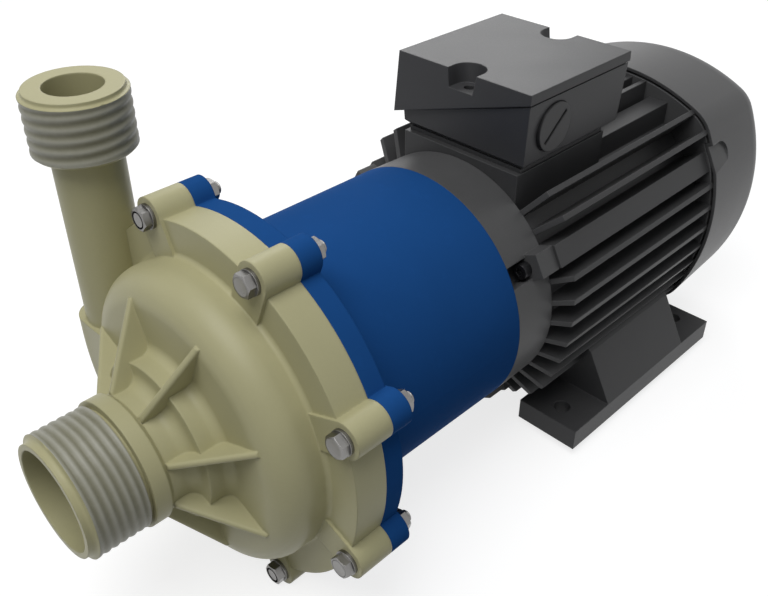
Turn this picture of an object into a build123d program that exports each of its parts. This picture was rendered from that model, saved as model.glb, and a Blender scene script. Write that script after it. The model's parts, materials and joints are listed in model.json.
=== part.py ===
"""Plastic magnetic-drive centrifugal pump with its finned foot motor.

The pieces are drawn in the shaft frame: Y is the shaft axis and points from the suction port
to the fan, y = 0 is the joint between lantern and motor, and the shaft lies at x = z = 0.
place() then moves each piece to the part's own frame, whose origin is the centre of the four
foot holes on the plane that the feet stand on, with +Z up. All sizes are in millimetres.
"""
from build123d import *
from math import atan2, cos, degrees, radians, sin, sqrt
import os

# Feet and frame of the motor
SHAFT_HEIGHT = 90.0
FOOT_SPAN_X = 140.0
FOOT_SPAN_Y = 125.0
FOOT_HOLE_D = 10.0
JOINT_TO_FEET = 114.0
FOOT_PLATE_T = 13.4
FOOT_PLATE_W = 39.7
FOOT_END_MARGIN = 12.7
FOOT_OUTER_MARGIN = 18.6
PEDESTAL_LENGTH = 83.6
PEDESTAL_TOP_DROP = 46.5
PEDESTAL_LEAN = 17.0
PEDESTAL_INNER_DROP = 30.5
FOOT_SCREW_INSET = 5.0
FOOT_SCREW_SPAN = 56.0
FOOT_SCREW_SINK = 10.0
FOOT_SCREW_TIP = -17.5

# Socket head screws: thread, head, and the key's width
M8_R = 4.0
M8_HEAD_R = 6.5
M8_HEAD_H = 8.0
M8_KEY = 6.0
M5_R = 2.5
M5_HEAD_R = 4.25
M5_HEAD_H = 5.0
M5_KEY = 4.0
M3_R = 1.5
M3_HEAD_R = 2.75
M3_HEAD_H = 3.0
M3_KEY = 2.5

# Fits, and how far cuts and fused roots reach past a face
RUN_GAP = 0.05
HAND_GAP = 0.3
END_GAP = 0.3
OVER = 1.0

# Joint between pump and motor
FACE_R = 70.0
SPIGOT_R = 47.5
SPIGOT_T = 3.0
FACE_BOLT_R = 57.5
FACE_BOLT_COUNT = 4
FACE_BOLT_FIRST = 45.0
FACE_SCREW_GRIP = 12.0
FACE_THREAD_DEPTH = 13.0
FACE_BOSS_R = 8.0
FACE_BOSS_END = 16.0

# Lantern
LANTERN_LENGTH = 118.0
LANTERN_WALL = 6.0
LANTERN_BACK_T = 10.0
FLANGE_R = 92.0
LANTERN_FLANGE_T = 10.0
LUG_COUNT = 8
LUG_FIRST_ANGLE = 22.5
LUG_CIRCLE_R = 94.0
LUG_R = 8.75
LUG_PROUD = 1.5

# Casing
CASING_FLANGE_T = 17.0
CASING_DEPTH = 23.6
DRUM_R = 75.0
DRUM_EDGE_R = 15.4
DRUM_FOOT_R = 2.5
SCROLL_ARCS = ((78.5, 90.0), (150.0, 10.0), (81.6, 80.0))
SCROLL_SETBACK = 2.0
SCROLL_EDGE_R = 13.0
SCROLL_TOP_Z = 15.0
SCROLL_WALL = 8.0
CHANNEL_W = 18.0
CHAMBER_R = 66.0
FRONT_WALL = 7.0

# Suction port
SUCTION_BORE_R = 24.3
SUCTION_THREAD_R = 29.8
SUCTION_LENGTH = 62.9
SUCTION_THREAD_L = 28.0
SUCTION_FACE_R = 27.1
SUCTION_LEAD = 3.7
SUCTION_LEAD_R = 1.8
LIP_SLOPE = 0.6
PORT_CHAMFER = 1.2
UNDERCUT = 2.4
UNDERCUT_W = 2.0
COLLAR_R = 31.0
COLLAR_W = 7.5
NECK_R = 29.0
RING_R = 39.0
RING_H = 11.4
RING_FOOT_R = 5.0
NECK_FILLET_R = 6.0
RIB_COUNT = 8
RIB_T = 3.2
RIB_OUTER_R = 64.5
RIB_EDGE_R = 1.4
RIB_TIP_H = 0.4

# Discharge port
PIPE_X = -78.5
PIPE_SETBACK = 3.5
PIPE_R = 16.5
PIPE_BORE_R = 13.5
PIPE_TOP_Z = 135.4
DISCHARGE_THREAD_R = 23.9
DISCHARGE_THREAD_L = 27.0
DISCHARGE_LEAD = 2.4
DISCHARGE_LEAD_R = 1.0
DISCHARGE_FACE_R = 22.1

# Casing bolts
BOLT_R = 3.0
BOLT_AF = 10.0
BOLT_HEAD_H = 4.0
BOLT_HOLE_R = 3.3
WASHER_R = 6.0
WASHER_T = 1.6
NUT_H = 5.0
BOLT_OVERHANG = 2.6
BACK_SCREW_DEPTH = 7.0

# Containment can
CAN_BORE_R = 42.0
CAN_WALL = 3.0
CAN_FLANGE_R = 80.0
CAN_FLANGE_T = 6.0
SEAL_WALL = 1.5
CAN_DEPTH = 60.0
CAN_FLOOR_T = 4.0
CAN_BOSS_R = 13.0
CAN_BOSS_H = 8.0
CAN_EDGE_R = 4.0
O_RING_R = 76.0
O_RING_SECTION_R = 1.3
O_RING_GROOVE_W = 4.0

# Pump shaft and its carriers
PUMP_SHAFT_R = 7.0
SHAFT_SEAT_DEPTH = 6.0
SUPPORT_HUB_R = 10.0
SUPPORT_NOSE_R = 6.0
SUPPORT_LENGTH = 12.0
SUPPORT_STEP = 2.0
SUPPORT_RING_T = 2.6
SUPPORT_ARM_COUNT = 3
SUPPORT_ARM_T = 4.0
SUPPORT_FROM_CHAMBER = 8.0
THRUST_RING_T = 3.7
THRUST_RING_R = 12.0
WEAR_RING_T = 3.0
WEAR_RING_L = 5.0
WEAR_GAP = 0.35

# Impeller
IMPELLER_R = 60.0
IMPELLER_EYE_R = 21.0
EYE_RING_R = 24.5
SHROUD_T = 3.5
VANE_H = 10.5
HUB_PLATE_T = 6.0
VANE_COUNT = 6
VANE_T = 3.0
VANE_INLET_R = 25.0
VANE_SWEEP = 75.0
IMPELLER_FRONT_GAP = 1.2
IMPELLER_NOSE_R = 18.0
BUSH_R = 12.0

# Driven magnets
JACKET_R = 40.0
JACKET_SKIN = 3.4
JACKET_SLEEVE_R = 24.0
JACKET_FRONT_T = 4.0
JACKET_LEAD = 7.0
JACKET_CAP_T = 4.0
YOKE_T = 6.0
MAGNET_COUNT = 8
MAGNET_ARC = 40.0

# Driving magnets
DRIVE_MAGNET_T = 5.9
DRIVE_RADIAL_GAP = 3.6
DRIVE_CUP_R = 60.0
DRIVE_FLOOR_T = 9.0
DRIVE_HUB_R = 26.0
DRIVE_HUB_BACK = 8.0
CUP_TO_FLANGE = 2.9
CUP_TO_CAN = 4.0
SET_SCREW_R = 4.0
SET_SCREW_L = 10.0
SET_SCREW_SOCKET = 2.0
SET_SCREW_INSET = 10.0
KEY_W = 8.0
KEY_H = 7.0
KEY_L = 40.0
KEYWAY_DEPTH = 4.0

# Motor
SHAFT_R = 12.0
SHAFT_EXTENSION = 50.0
SHIELD_LENGTH = 28.0
SHIELD_BACK_R = 69.3
SHIELD_WALL = 8.0
SHIELD_SPIGOT_T = 4.0
SHIELD_SPIGOT_L = 5.0
HOUSING_BACK_ROOM = 28.0
HOUSING_BORE_R = 57.0
HOUSING_CORE_R = 64.5
BEARING_BORE_R = 12.5
BEARING_R = 26.0
BEARING_W = 15.0
BEARING_RING_T = 3.6
BALL_R = 3.6
BALL_COUNT = 9
FRONT_BEARING_Y = 8.0
SEAL_R = 20.0
SEAL_W = 6.0
STATOR_FRONT = 24.0
STATOR_LENGTH = 98.0
STATOR_BORE_R = 38.0
AIR_GAP = 0.4
WINDING_OUT = 13.0
WINDING_R = (41.0, 55.0)
WINDING_EDGE_R = 5.0
ROTOR_SEAT_R = 17.5
CAGE_RING_T = 9.0
CAGE_RING_BORE_R = 26.0
CAGE_VANE_COUNT = 8
CAGE_VANE_H = 6.0
CAGE_VANE_T = 3.0
REAR_SHIELD_T = 10.0
REAR_SHIELD_R = 68.0
REAR_PLATE_T = 3.0
REAR_PLATE_GAP = 1.5
REAR_HUB_WALL = 7.0
REAR_EDGE = 2.0
HUB_HOLE_GAP = 4.0
REAR_BEARING_INSET = 5.5
WAVE_SPRING_T = 1.5
FAN_SEAT_R = 10.0

# Fins
FIN_T = 3.0
FIN_ANGLES = (-73.0, -64.5, -56.0, -48.0, -40.0, -31.2, -22.2, -12.9, -2.3, 8.0, 18.4, 41.1, 50.8)
FIN_HALF_WIDTH = 78.3
FIN_ARC_R = 124.4
FIN_RISE = 7.0
BOTTOM_FIN_STEP = 10.5
BOTTOM_FIN_DROP = 1.5
TOP_FIN_X = (9.0, 18.8)
TOP_FIN_Z = 75.5
STEP_RIB = (24.0, 36.5, 66.5)
BAR_ANGLE = 29.3
BAR_W = 12.4
BAR_R = 78.7
SCREW_ANGLES = (29.3, 150.7, -60.0, -120.0)

# Shield lugs and their screws
SHIELD_LUG_R = 77.0
SHIELD_LUG_W = 13.0
SHIELD_LUG_FRONT = 15.0
NOTCH_W = 11.5
NOTCH_R = 60.0
SHIELD_SCREW_CIRCLE_R = 67.3
SHIELD_SCREW_GRIP = 12.0
SCREW_CLEARANCE = 0.2

# Fan and cowl
FAN_R = 64.0
FAN_HUB_R = 17.0
FAN_START = 30.0
FAN_WIDTH = 34.0
FAN_PLATE_T = 3.0
FAN_BLADE_COUNT = 8
FAN_BLADE_T = 2.4
CIRCLIP_W = 1.2
COWL_LENGTH = 74.0
COWL_WALL = 2.0
COWL_PROUD = 2.3
COWL_BOW = 2.0
COWL_TAPER = 4.0
COWL_EDGE_R = 22.0
COWL_CORNER_R = 25.0
COWL_POCKET_R = 8.6
COWL_POCKET_DEPTH = 2.0
GRILLE_RINGS = ((12.0, 17.0), (21.0, 26.0), (30.0, 35.0), (39.0, 44.0))
GRILLE_SPOKES = 6
GRILLE_SPOKE_W = 5.0
COWL_SCREW_R = 2.5
COWL_SCREW_BACK = 5.0
COWL_SCREW_HEAD_R = 4.0
COWL_SCREW_HEAD_H = 2.4
COWL_SCREW_GRIP = 7.0
COWL_SCREW_ANGLES = (-60.0, -120.0)

# Terminal box
PAD_HALF_W = 39.0
PAD_FRONT = 28.0
PAD_BACK = 104.0
PAD_TOP = 73.0
GASKET_T = 2.0
BOX_HALF_W = 43.4
BOX_FRONT = 27.3
BOX_BACK = 112.0
BASE_DRAFT = 0.06
BASE_CHAMFER = 3.0
LID_FLARE = 0.055
BOX_TOP = 117.0
BOX_WALL = 3.0
BOX_FLOOR_T = 3.5
PARTING_LOW = 83.0
PARTING_HIGH = 111.0
LID_LIP = 0.6
LID_GASKET_T = 0.8
LID_GASKET_INSET = 1.0
CABLE_OPENING = (36.0, 40.0)
RECESS_W = 18.8
RECESS_L = 14.6
RECESS_FLOOR = 107.0
RECESS_DRAFT = 1.6
LID_SCREW_INSET = 6.6
LID_SCREW_SINK = 3.0
LID_SCREW_GRIP = 16.0
POST_R = 5.0
PLUG_Y = 49.8
PLUG_Z = 94.2
PLUG_SEAT_DEPTH = 3.2
PLUG_SEAT_T = 6.0
PLUG_SEAT_RIM = 1.5
PLUG_R = 13.0
PLUG_THREAD_R = 10.0
PLUG_HEAD_T = 2.6
PLUG_SHANK_L = 8.0
PLUG_SLOT = (21.0, 2.0, 1.4)
PLUG_SLOT_ANGLE = 41.0
PLUG_SEAL_T = 1.0
BOARD_SIZE = (44.0, 30.0, 6.0)
BOARD_SHIFT = 12.0
STUD_R = 2.0
STUD_H = 8.0
STUD_PITCH = 14.0
STUD_NUT_AF = 7.0
STUD_NUT_H = 3.2

# Stations along the shaft that follow from the sizes above
LANTERN_FRONT = -LANTERN_LENGTH
LANTERN_FLANGE_BACK = LANTERN_FRONT + LANTERN_FLANGE_T
LANTERN_LUG_BACK = LANTERN_FLANGE_BACK + 1.0
FLANGE_FRONT = LANTERN_FRONT - CASING_FLANGE_T
LUG_FRONT = FLANGE_FRONT - LUG_PROUD
CASING_FRONT = FLANGE_FRONT - CASING_DEPTH
PORT_FRONT = CASING_FRONT - SUCTION_LENGTH
CHAMBER_FRONT = CASING_FRONT + FRONT_WALL
PIPE_Y = FLANGE_FRONT - PIPE_SETBACK
CAN_FLANGE_FRONT = PIPE_Y + PIPE_BORE_R + SEAL_WALL + 2 * O_RING_SECTION_R
CAN_FLANGE_BACK = CAN_FLANGE_FRONT + CAN_FLANGE_T
CHANNEL_FRONT = CHAMBER_FRONT + 1.5
CHANNEL_BACK = CHANNEL_FRONT + CHANNEL_W
SHROUD_FRONT = CHAMBER_FRONT + IMPELLER_FRONT_GAP
VANE_FRONT = SHROUD_FRONT + SHROUD_T
VANE_BACK = VANE_FRONT + VANE_H
HUB_PLATE_BACK = VANE_BACK + HUB_PLATE_T
SUPPORT_BACK = CHAMBER_FRONT - SUPPORT_FROM_CHAMBER
SUPPORT_FRONT = SUPPORT_BACK - SUPPORT_LENGTH
SUPPORT_R = SUCTION_BORE_R + SUPPORT_STEP
BUSH_FRONT = SUPPORT_BACK + THRUST_RING_T + END_GAP
CAN_FLOOR = LANTERN_FRONT + CAN_DEPTH - CAN_FLOOR_T
CAN_BOSS_FRONT = CAN_FLOOR - CAN_BOSS_H
BUSH_BACK = CAN_BOSS_FRONT - THRUST_RING_T - END_GAP
JACKET_FRONT = LANTERN_FRONT - JACKET_LEAD
DRIVE_CUP_FRONT = CAN_FLANGE_BACK + CUP_TO_FLANGE
DRIVE_FLOOR_FRONT = CAN_FLOOR + CAN_FLOOR_T + CUP_TO_CAN
DRIVE_BORE_R = CAN_BORE_R + CAN_WALL + DRIVE_RADIAL_GAP
HOUSING_FRONT = SHIELD_LENGTH
STATOR_START = HOUSING_FRONT + STATOR_FRONT
STATOR_END = STATOR_START + STATOR_LENGTH
HOUSING_BACK = STATOR_END + HOUSING_BACK_ROOM
FOOT_SCREW_X = HOUSING_CORE_R - FOOT_SCREW_INSET
REAR_BEARING_Y = HOUSING_BACK - REAR_BEARING_INSET
SHIELD_BACK_END = HOUSING_BACK + REAR_SHIELD_T
FAN_Y = HOUSING_BACK + FAN_START
COWL_RIM = HOUSING_BACK
COWL_END = COWL_RIM + COWL_LENGTH
PAD_MIDDLE = (PAD_FRONT + PAD_BACK) / 2
BOX_LOW = PAD_TOP + GASKET_T
CASING_NUT_BACK = LANTERN_LUG_BACK + NUT_H

# Angles of the casing lugs; the two at the scroll are bolted from behind
LUG_ANGLES = [LUG_FIRST_ANGLE + 360.0 / LUG_COUNT * k for k in range(LUG_COUNT)]
THROUGH_ANGLES = [a for a in LUG_ANGLES if cos(radians(a)) > -0.8]
BACK_ANGLES = [a for a in LUG_ANGLES if cos(radians(a)) < -0.8]


def profile(points, rounds=()):
    """Flat outline from corner points; rounds lists (corner point, radius) to fillet."""
    face = make_face(Polyline(*points, close=True))
    for corner, radius in rounds:
        vertex = face.vertices().sort_by_distance(Vector(*corner))[0]
        face = fillet(vertex, radius)
    return face


def turned(points, rounds=()):
    """Solid turned about the shaft axis from (radius, y) points."""
    return revolve(profile(points, rounds), Axis.Y)


def ring(inner_r, outer_r, y_front, y_back):
    """Plain ring on the shaft axis."""
    return turned([(inner_r, y_front), (outer_r, y_front), (outer_r, y_back), (inner_r, y_back)])


def rod(radius, y_front, y_back, x=0.0, z=0.0):
    """Round bar parallel to the shaft axis."""
    bar = Cylinder(radius, y_back - y_front)
    return Pos(x, (y_front + y_back) / 2, z) * Rot(90, 0, 0) * bar


def slab(sketch, y_front, y_back):
    """A sketch drawn in X and Z, extruded from y_front to y_back."""
    return extrude(Plane.XZ.offset(-y_back) * sketch, y_back - y_front)


def block(x_range, y_range, z_range):
    """Box between two limits on each axis."""
    size = [high - low for low, high in (x_range, y_range, z_range)]
    middle = [(high + low) / 2 for low, high in (x_range, y_range, z_range)]
    return Pos(*middle) * Box(*size)


def turn(shape, angle):
    """Turn a shape about the shaft axis, from +X towards +Z."""
    return Rot(0, -angle, 0) * shape


def around(shape, angles):
    """Copies of a shape about the shaft axis, one per angle."""
    return [turn(shape, angle) for angle in angles]


def steps(count, first=0.0):
    """Evenly spaced angles."""
    return [first + 360.0 / count * k for k in range(count)]


def hexagon(across_flats):
    """Hexagon sketch from its width across flats."""
    return RegularPolygon(across_flats / sqrt(3), 6)


def socket_screw(radius, head_r, head_h, key, grip):
    """Socket head screw on Z: the head stands on z = 0 and the shank goes down by grip."""
    head = Pos(0, 0, head_h / 2) * Cylinder(head_r, head_h)
    head -= Pos(0, 0, head_h / 2) * extrude(hexagon(key), head_h)
    return head + Pos(0, 0, -grip / 2) * Cylinder(radius, grip)


def fuse(first, others):
    """One solid from a shape and a list of shapes."""
    for other in others:
        first = first + other
    return first


def largest(shape):
    """The biggest solid of a shape, without the thin crumbs that a cut leaves beside it."""
    return max(shape.solids(), key=lambda solid: solid.volume)


def place(shapes, name):
    """Move a piece to the part's frame and write its file."""
    if not isinstance(shapes, list):
        shapes = [shapes]
    to_frame = Pos(0, -JOINT_TO_FEET, SHAFT_HEIGHT)
    solids = [to_frame * solid for shape in shapes for solid in shape.solids()]
    node = solids[0] if len(solids) == 1 else Compound(children=solids)
    export_step(node, f"parts/{name}.step")


# Volute casing


def scroll_outline(inset):
    """The scroll's outline in X and Z, moved inwards by inset."""
    start = (DRUM_R - inset, 0)
    heading = (0, -1)
    edges = []
    for radius, sweep_angle in SCROLL_ARCS:
        arc = JernArc(start, heading, radius - inset, -sweep_angle)
        edges.append(arc)
        start = arc @ 1
        heading = arc % 1
    top = SCROLL_TOP_Z - inset
    edges.append(Polyline(start, (start.X, top), (0, top), (0, 0), (DRUM_R - inset, 0)))
    return make_face(Curve() + edges)


def casing_body():
    """Turned body of the casing, from the suction port to the flange."""
    thread_back = PORT_FRONT + SUCTION_THREAD_L
    collar_front = thread_back + UNDERCUT_W
    collar_back = collar_front + COLLAR_W
    ring_front = CASING_FRONT - RING_H
    lip = PORT_FRONT + SUCTION_LEAD
    points = [
        (SUCTION_BORE_R, PORT_FRONT),
        (SUCTION_FACE_R, PORT_FRONT),
        (SUCTION_FACE_R, lip - LIP_SLOPE),
        (SUCTION_THREAD_R, lip),
        (SUCTION_THREAD_R, thread_back),
        (SUCTION_THREAD_R - UNDERCUT, thread_back),
        (SUCTION_THREAD_R - UNDERCUT, collar_front),
        (COLLAR_R, collar_front),
        (COLLAR_R, collar_back),
        (NECK_R, collar_back + (COLLAR_R - NECK_R)),
        (NECK_R, ring_front),
        (RING_R, ring_front),
        (RING_R, CASING_FRONT),
        (DRUM_R, CASING_FRONT),
        (DRUM_R, FLANGE_FRONT),
        (FLANGE_R, FLANGE_FRONT),
        (FLANGE_R, LANTERN_FRONT),
        (SUCTION_BORE_R, LANTERN_FRONT),
    ]
    rounds = [
        ((SUCTION_FACE_R, lip - LIP_SLOPE), SUCTION_LEAD_R),
        ((NECK_R, ring_front), NECK_FILLET_R),
        ((RING_R, CASING_FRONT), RING_FOOT_R),
        ((DRUM_R, CASING_FRONT), DRUM_EDGE_R),
        ((DRUM_R, FLANGE_FRONT), DRUM_FOOT_R),
    ]
    return turned(points, rounds)


def casing_scroll():
    """Tangential part of the volute, with its rounded front edge."""
    front = CASING_FRONT + SCROLL_SETBACK
    body = slab(scroll_outline(0), front, LANTERN_FRONT)
    rim = body.edges().filter_by(GeomType.CIRCLE).filter_by_position(Axis.Y, front - 0.1, front + 0.1)
    return fillet(rim, SCROLL_EDGE_R)


def discharge_pipe():
    """Upright discharge pipe with its thicker threaded end."""
    thread_top = PIPE_TOP_Z - DISCHARGE_LEAD
    thread_bottom = thread_top - DISCHARGE_THREAD_L
    points = [
        (0, 0),
        (PIPE_R, 0),
        (PIPE_R, thread_bottom - UNDERCUT_W),
        (DISCHARGE_THREAD_R - PORT_CHAMFER, thread_bottom),
        (DISCHARGE_THREAD_R, thread_bottom + PORT_CHAMFER),
        (DISCHARGE_THREAD_R, thread_top),
        (DISCHARGE_FACE_R, thread_top + LIP_SLOPE),
        (DISCHARGE_FACE_R, PIPE_TOP_Z),
        (0, PIPE_TOP_Z),
    ]
    rounds = [((DISCHARGE_FACE_R, thread_top + LIP_SLOPE), DISCHARGE_LEAD_R)]
    pipe = revolve(Plane.XZ * profile(points, rounds), Axis.Z)
    return Pos(PIPE_X, PIPE_Y, 0) * pipe


def casing_rib():
    """One gusset between the suction neck and the front face, at angle 0."""
    tip_y = PORT_FRONT + SUCTION_THREAD_L + UNDERCUT_W + COLLAR_W + (COLLAR_R - NECK_R)
    inner_r = SUPPORT_R + OVER
    base_y = CASING_FRONT + OVER
    web = profile([(inner_r, tip_y), (COLLAR_R, tip_y), (RIB_OUTER_R, CASING_FRONT - RIB_TIP_H),
                   (RIB_OUTER_R, base_y), (inner_r, base_y)])
    rib = extrude(web, RIB_T / 2, both=True)
    slope = [e for e in rib.edges().filter_by(GeomType.LINE)
             if abs(e.center().X - (COLLAR_R + RIB_OUTER_R) / 2) < RIB_T / 4]
    return fillet(slope, RIB_EDGE_R)


def casing_lug():
    """Bolt boss of the casing flange with its radial pad, at angle 0."""
    boss = rod(LUG_R, LUG_FRONT, LANTERN_FRONT, x=LUG_CIRCLE_R)
    pad = block((DRUM_R - OVER, LUG_CIRCLE_R), (LUG_FRONT, LANTERN_FRONT), (-LUG_R, LUG_R))
    return boss + pad


def volute_casing():
    """The whole casing with its waterways, seats and bolt holes."""
    body = fuse(casing_body(), [casing_scroll(), discharge_pipe()])
    body = fuse(body, around(casing_lug(), LUG_ANGLES))
    body = fuse(body, around(casing_rib(), steps(RIB_COUNT, LUG_FIRST_ANGLE)))
    waterway = rod(SUCTION_BORE_R, PORT_FRONT - OVER, CHAMBER_FRONT + OVER)
    waterway += rod(CHAMBER_R, CHAMBER_FRONT, CAN_FLANGE_FRONT)
    waterway += slab(scroll_outline(SCROLL_WALL), CHANNEL_FRONT, CHANNEL_BACK)
    waterway += Pos(PIPE_X, PIPE_Y, 0) * Pos(0, 0, PIPE_TOP_Z / 2) * Cylinder(PIPE_BORE_R, PIPE_TOP_Z)
    waterway += rod(CAN_FLANGE_R, CAN_FLANGE_FRONT, LANTERN_FRONT)
    groove_half = O_RING_GROOVE_W / 2
    waterway += ring(O_RING_R - groove_half, O_RING_R + groove_half,
                     CAN_FLANGE_FRONT - 2 * O_RING_SECTION_R, CAN_FLANGE_FRONT)
    waterway += rod(wear_ring_outer(), CHAMBER_FRONT - WEAR_RING_L, CHAMBER_FRONT)
    waterway += rod(SUPPORT_R, SUPPORT_FRONT, CHAMBER_FRONT)
    body -= waterway
    hole = rod(BOLT_HOLE_R, LUG_FRONT - OVER, LANTERN_FRONT + OVER, x=LUG_CIRCLE_R)
    for angle in THROUGH_ANGLES:
        body -= turn(hole, angle)
    blind = rod(BOLT_R, LANTERN_FRONT - BACK_SCREW_DEPTH, LANTERN_FRONT + OVER, x=LUG_CIRCLE_R)
    for angle in BACK_ANGLES:
        body -= turn(blind, angle)
    return body


def wear_ring_outer():
    """Outer radius of the wear ring and of its seat."""
    return EYE_RING_R + WEAR_GAP + WEAR_RING_T


def casing_wear_ring():
    """Ring that the impeller's eye runs in."""
    return ring(EYE_RING_R + WEAR_GAP, wear_ring_outer(), CHAMBER_FRONT - WEAR_RING_L, CHAMBER_FRONT)


# Casing bolts


def casing_bolts():
    """Hexagon bolts through the six open lugs."""
    head_back = LUG_FRONT - WASHER_T
    head = slab(hexagon(BOLT_AF), head_back - BOLT_HEAD_H, head_back)
    bolt = head + rod(BOLT_R, head_back, CASING_NUT_BACK + BOLT_OVERHANG)
    return around(Pos(LUG_CIRCLE_R, 0, 0) * bolt, THROUGH_ANGLES)


def casing_back_screws():
    """Hexagon screws into the two lugs at the scroll, from behind."""
    head_front = LANTERN_LUG_BACK + WASHER_T
    head = slab(hexagon(BOLT_AF), head_front, head_front + BOLT_HEAD_H)
    screw = head + rod(BOLT_R, LANTERN_FRONT - BACK_SCREW_DEPTH, head_front)
    return around(Pos(LUG_CIRCLE_R, 0, 0) * screw, BACK_ANGLES)


def casing_washers():
    """Washers under all the heads."""
    hole_r = BOLT_R + RUN_GAP
    front = ring(hole_r, WASHER_R, LUG_FRONT - WASHER_T, LUG_FRONT)
    back = ring(hole_r, WASHER_R, LANTERN_LUG_BACK, LANTERN_LUG_BACK + WASHER_T)
    at_lug = Pos(LUG_CIRCLE_R, 0, 0)
    return around(at_lug * front, THROUGH_ANGLES) + around(at_lug * back, BACK_ANGLES)


def casing_nuts():
    """Nuts behind the lantern's bosses."""
    nut = slab(hexagon(BOLT_AF) - Circle(BOLT_R), LANTERN_LUG_BACK, CASING_NUT_BACK)
    return around(Pos(LUG_CIRCLE_R, 0, 0) * nut, THROUGH_ANGLES)


def casing_o_ring():
    """Seal between the casing and the can's flange."""
    seal = Torus(O_RING_R, O_RING_SECTION_R)
    return Pos(0, CAN_FLANGE_FRONT - O_RING_SECTION_R, 0) * Rot(90, 0, 0) * seal


# Lantern


def lantern():
    """Adapter between pump and motor."""
    inner_r = FACE_R - LANTERN_WALL
    points = [
        (inner_r, CAN_FLANGE_BACK),
        (CAN_FLANGE_R, CAN_FLANGE_BACK),
        (CAN_FLANGE_R, LANTERN_FRONT),
        (FLANGE_R, LANTERN_FRONT),
        (FLANGE_R, LANTERN_FLANGE_BACK),
        (FACE_R, LANTERN_FLANGE_BACK),
        (FACE_R, 0),
        (SPIGOT_R, 0),
        (SPIGOT_R, -LANTERN_BACK_T),
        (inner_r, -LANTERN_BACK_T),
    ]
    body = turned(points)
    boss = rod(LUG_R, LANTERN_FRONT, LANTERN_LUG_BACK, x=LUG_CIRCLE_R)
    pad = block((FLANGE_R - LUG_R, LUG_CIRCLE_R), (LANTERN_FRONT, LANTERN_LUG_BACK), (-LUG_R, LUG_R))
    body = fuse(body, around(boss + pad, LUG_ANGLES))
    hole = rod(BOLT_HOLE_R, LANTERN_FRONT - OVER, LANTERN_LUG_BACK + OVER, x=LUG_CIRCLE_R)
    for angle in LUG_ANGLES:
        body -= turn(hole, angle)
    face_hole = rod(M8_R + HAND_GAP, -LANTERN_BACK_T - OVER, OVER, x=FACE_BOLT_R)
    for angle in steps(FACE_BOLT_COUNT, FACE_BOLT_FIRST):
        body -= turn(face_hole, angle)
    return body


def lantern_screws():
    """Socket head screws that hold the lantern to the motor's face."""
    screw = socket_screw(M8_R, M8_HEAD_R, M8_HEAD_H, M8_KEY, LANTERN_BACK_T + FACE_SCREW_GRIP)
    screw = Pos(FACE_BOLT_R, -LANTERN_BACK_T, 0) * Rot(90, 0, 0) * screw
    return around(screw, steps(FACE_BOLT_COUNT, FACE_BOLT_FIRST))


# Wet end behind the casing


def containment_can():
    """Rear casing: flange, can and the boss that holds the shaft."""
    outer_r = CAN_BORE_R + CAN_WALL
    floor_back = CAN_FLOOR + CAN_FLOOR_T
    points = [
        (CAN_BORE_R, CAN_FLANGE_FRONT),
        (CAN_FLANGE_R, CAN_FLANGE_FRONT),
        (CAN_FLANGE_R, CAN_FLANGE_BACK),
        (outer_r, CAN_FLANGE_BACK),
        (outer_r, floor_back),
        (0, floor_back),
        (0, CAN_BOSS_FRONT + SHAFT_SEAT_DEPTH),
        (PUMP_SHAFT_R, CAN_BOSS_FRONT + SHAFT_SEAT_DEPTH),
        (PUMP_SHAFT_R, CAN_BOSS_FRONT),
        (CAN_BOSS_R, CAN_BOSS_FRONT),
        (CAN_BOSS_R, CAN_FLOOR),
        (CAN_BORE_R, CAN_FLOOR),
    ]
    rounds = [((outer_r, floor_back), CAN_EDGE_R), ((outer_r, CAN_FLANGE_BACK), CAN_EDGE_R / 2)]
    return turned(points, rounds)


def pump_shaft():
    """Fixed ceramic shaft between the front support and the can."""
    return rod(PUMP_SHAFT_R, SUPPORT_BACK - SHAFT_SEAT_DEPTH, CAN_BOSS_FRONT + SHAFT_SEAT_DEPTH)


def front_shaft_support():
    """Ring seated behind the suction bore, with its arms and a nosed hub."""
    seat_floor = SUPPORT_BACK - SHAFT_SEAT_DEPTH
    hub = turned([(0, SUPPORT_FRONT), (SUPPORT_HUB_R, SUPPORT_FRONT), (SUPPORT_HUB_R, SUPPORT_BACK),
                  (PUMP_SHAFT_R, SUPPORT_BACK), (PUMP_SHAFT_R, seat_floor), (0, seat_floor)],
                 [((SUPPORT_HUB_R, SUPPORT_FRONT), SUPPORT_NOSE_R)])
    rim = ring(SUPPORT_R - SUPPORT_RING_T, SUPPORT_R, SUPPORT_FRONT, SUPPORT_BACK)
    arm = block((PUMP_SHAFT_R + OVER, SUPPORT_R - OVER), (SUPPORT_FRONT + OVER, SUPPORT_BACK - OVER),
                (-SUPPORT_ARM_T / 2, SUPPORT_ARM_T / 2))
    return fuse(hub + rim, around(arm, steps(SUPPORT_ARM_COUNT, 90.0)))


def thrust_ring(y_front):
    """Ceramic thrust ring on the fixed shaft."""
    return ring(PUMP_SHAFT_R, THRUST_RING_R, y_front, y_front + THRUST_RING_T)


# Impeller and driven magnets


def vane(height_front, height_back):
    """One backward-curved vane, starting at angle 0."""
    count = 5
    middle = []
    for k in range(count):
        share = k / (count - 1)
        radius = VANE_INLET_R + (IMPELLER_R - VANE_INLET_R) * share
        angle = radians(VANE_SWEEP * share ** 0.8)
        middle.append((radius * cos(angle), radius * sin(angle)))
    line = Spline(*middle)
    half = VANE_T / 2
    outer_side = []
    inner_side = []
    for k in range(count):
        point = line @ (k / (count - 1))
        along = line % (k / (count - 1))
        outer_side.append((point.X - along.Y * half, point.Y + along.X * half))
        inner_side.append((point.X + along.Y * half, point.Y - along.X * half))
    left = Spline(*outer_side)
    right = Spline(*inner_side)
    section = make_face(Curve() + [left, right, Line(left @ 0, right @ 0), Line(left @ 1, right @ 1)])
    return slab(section, height_front, height_back)


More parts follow.
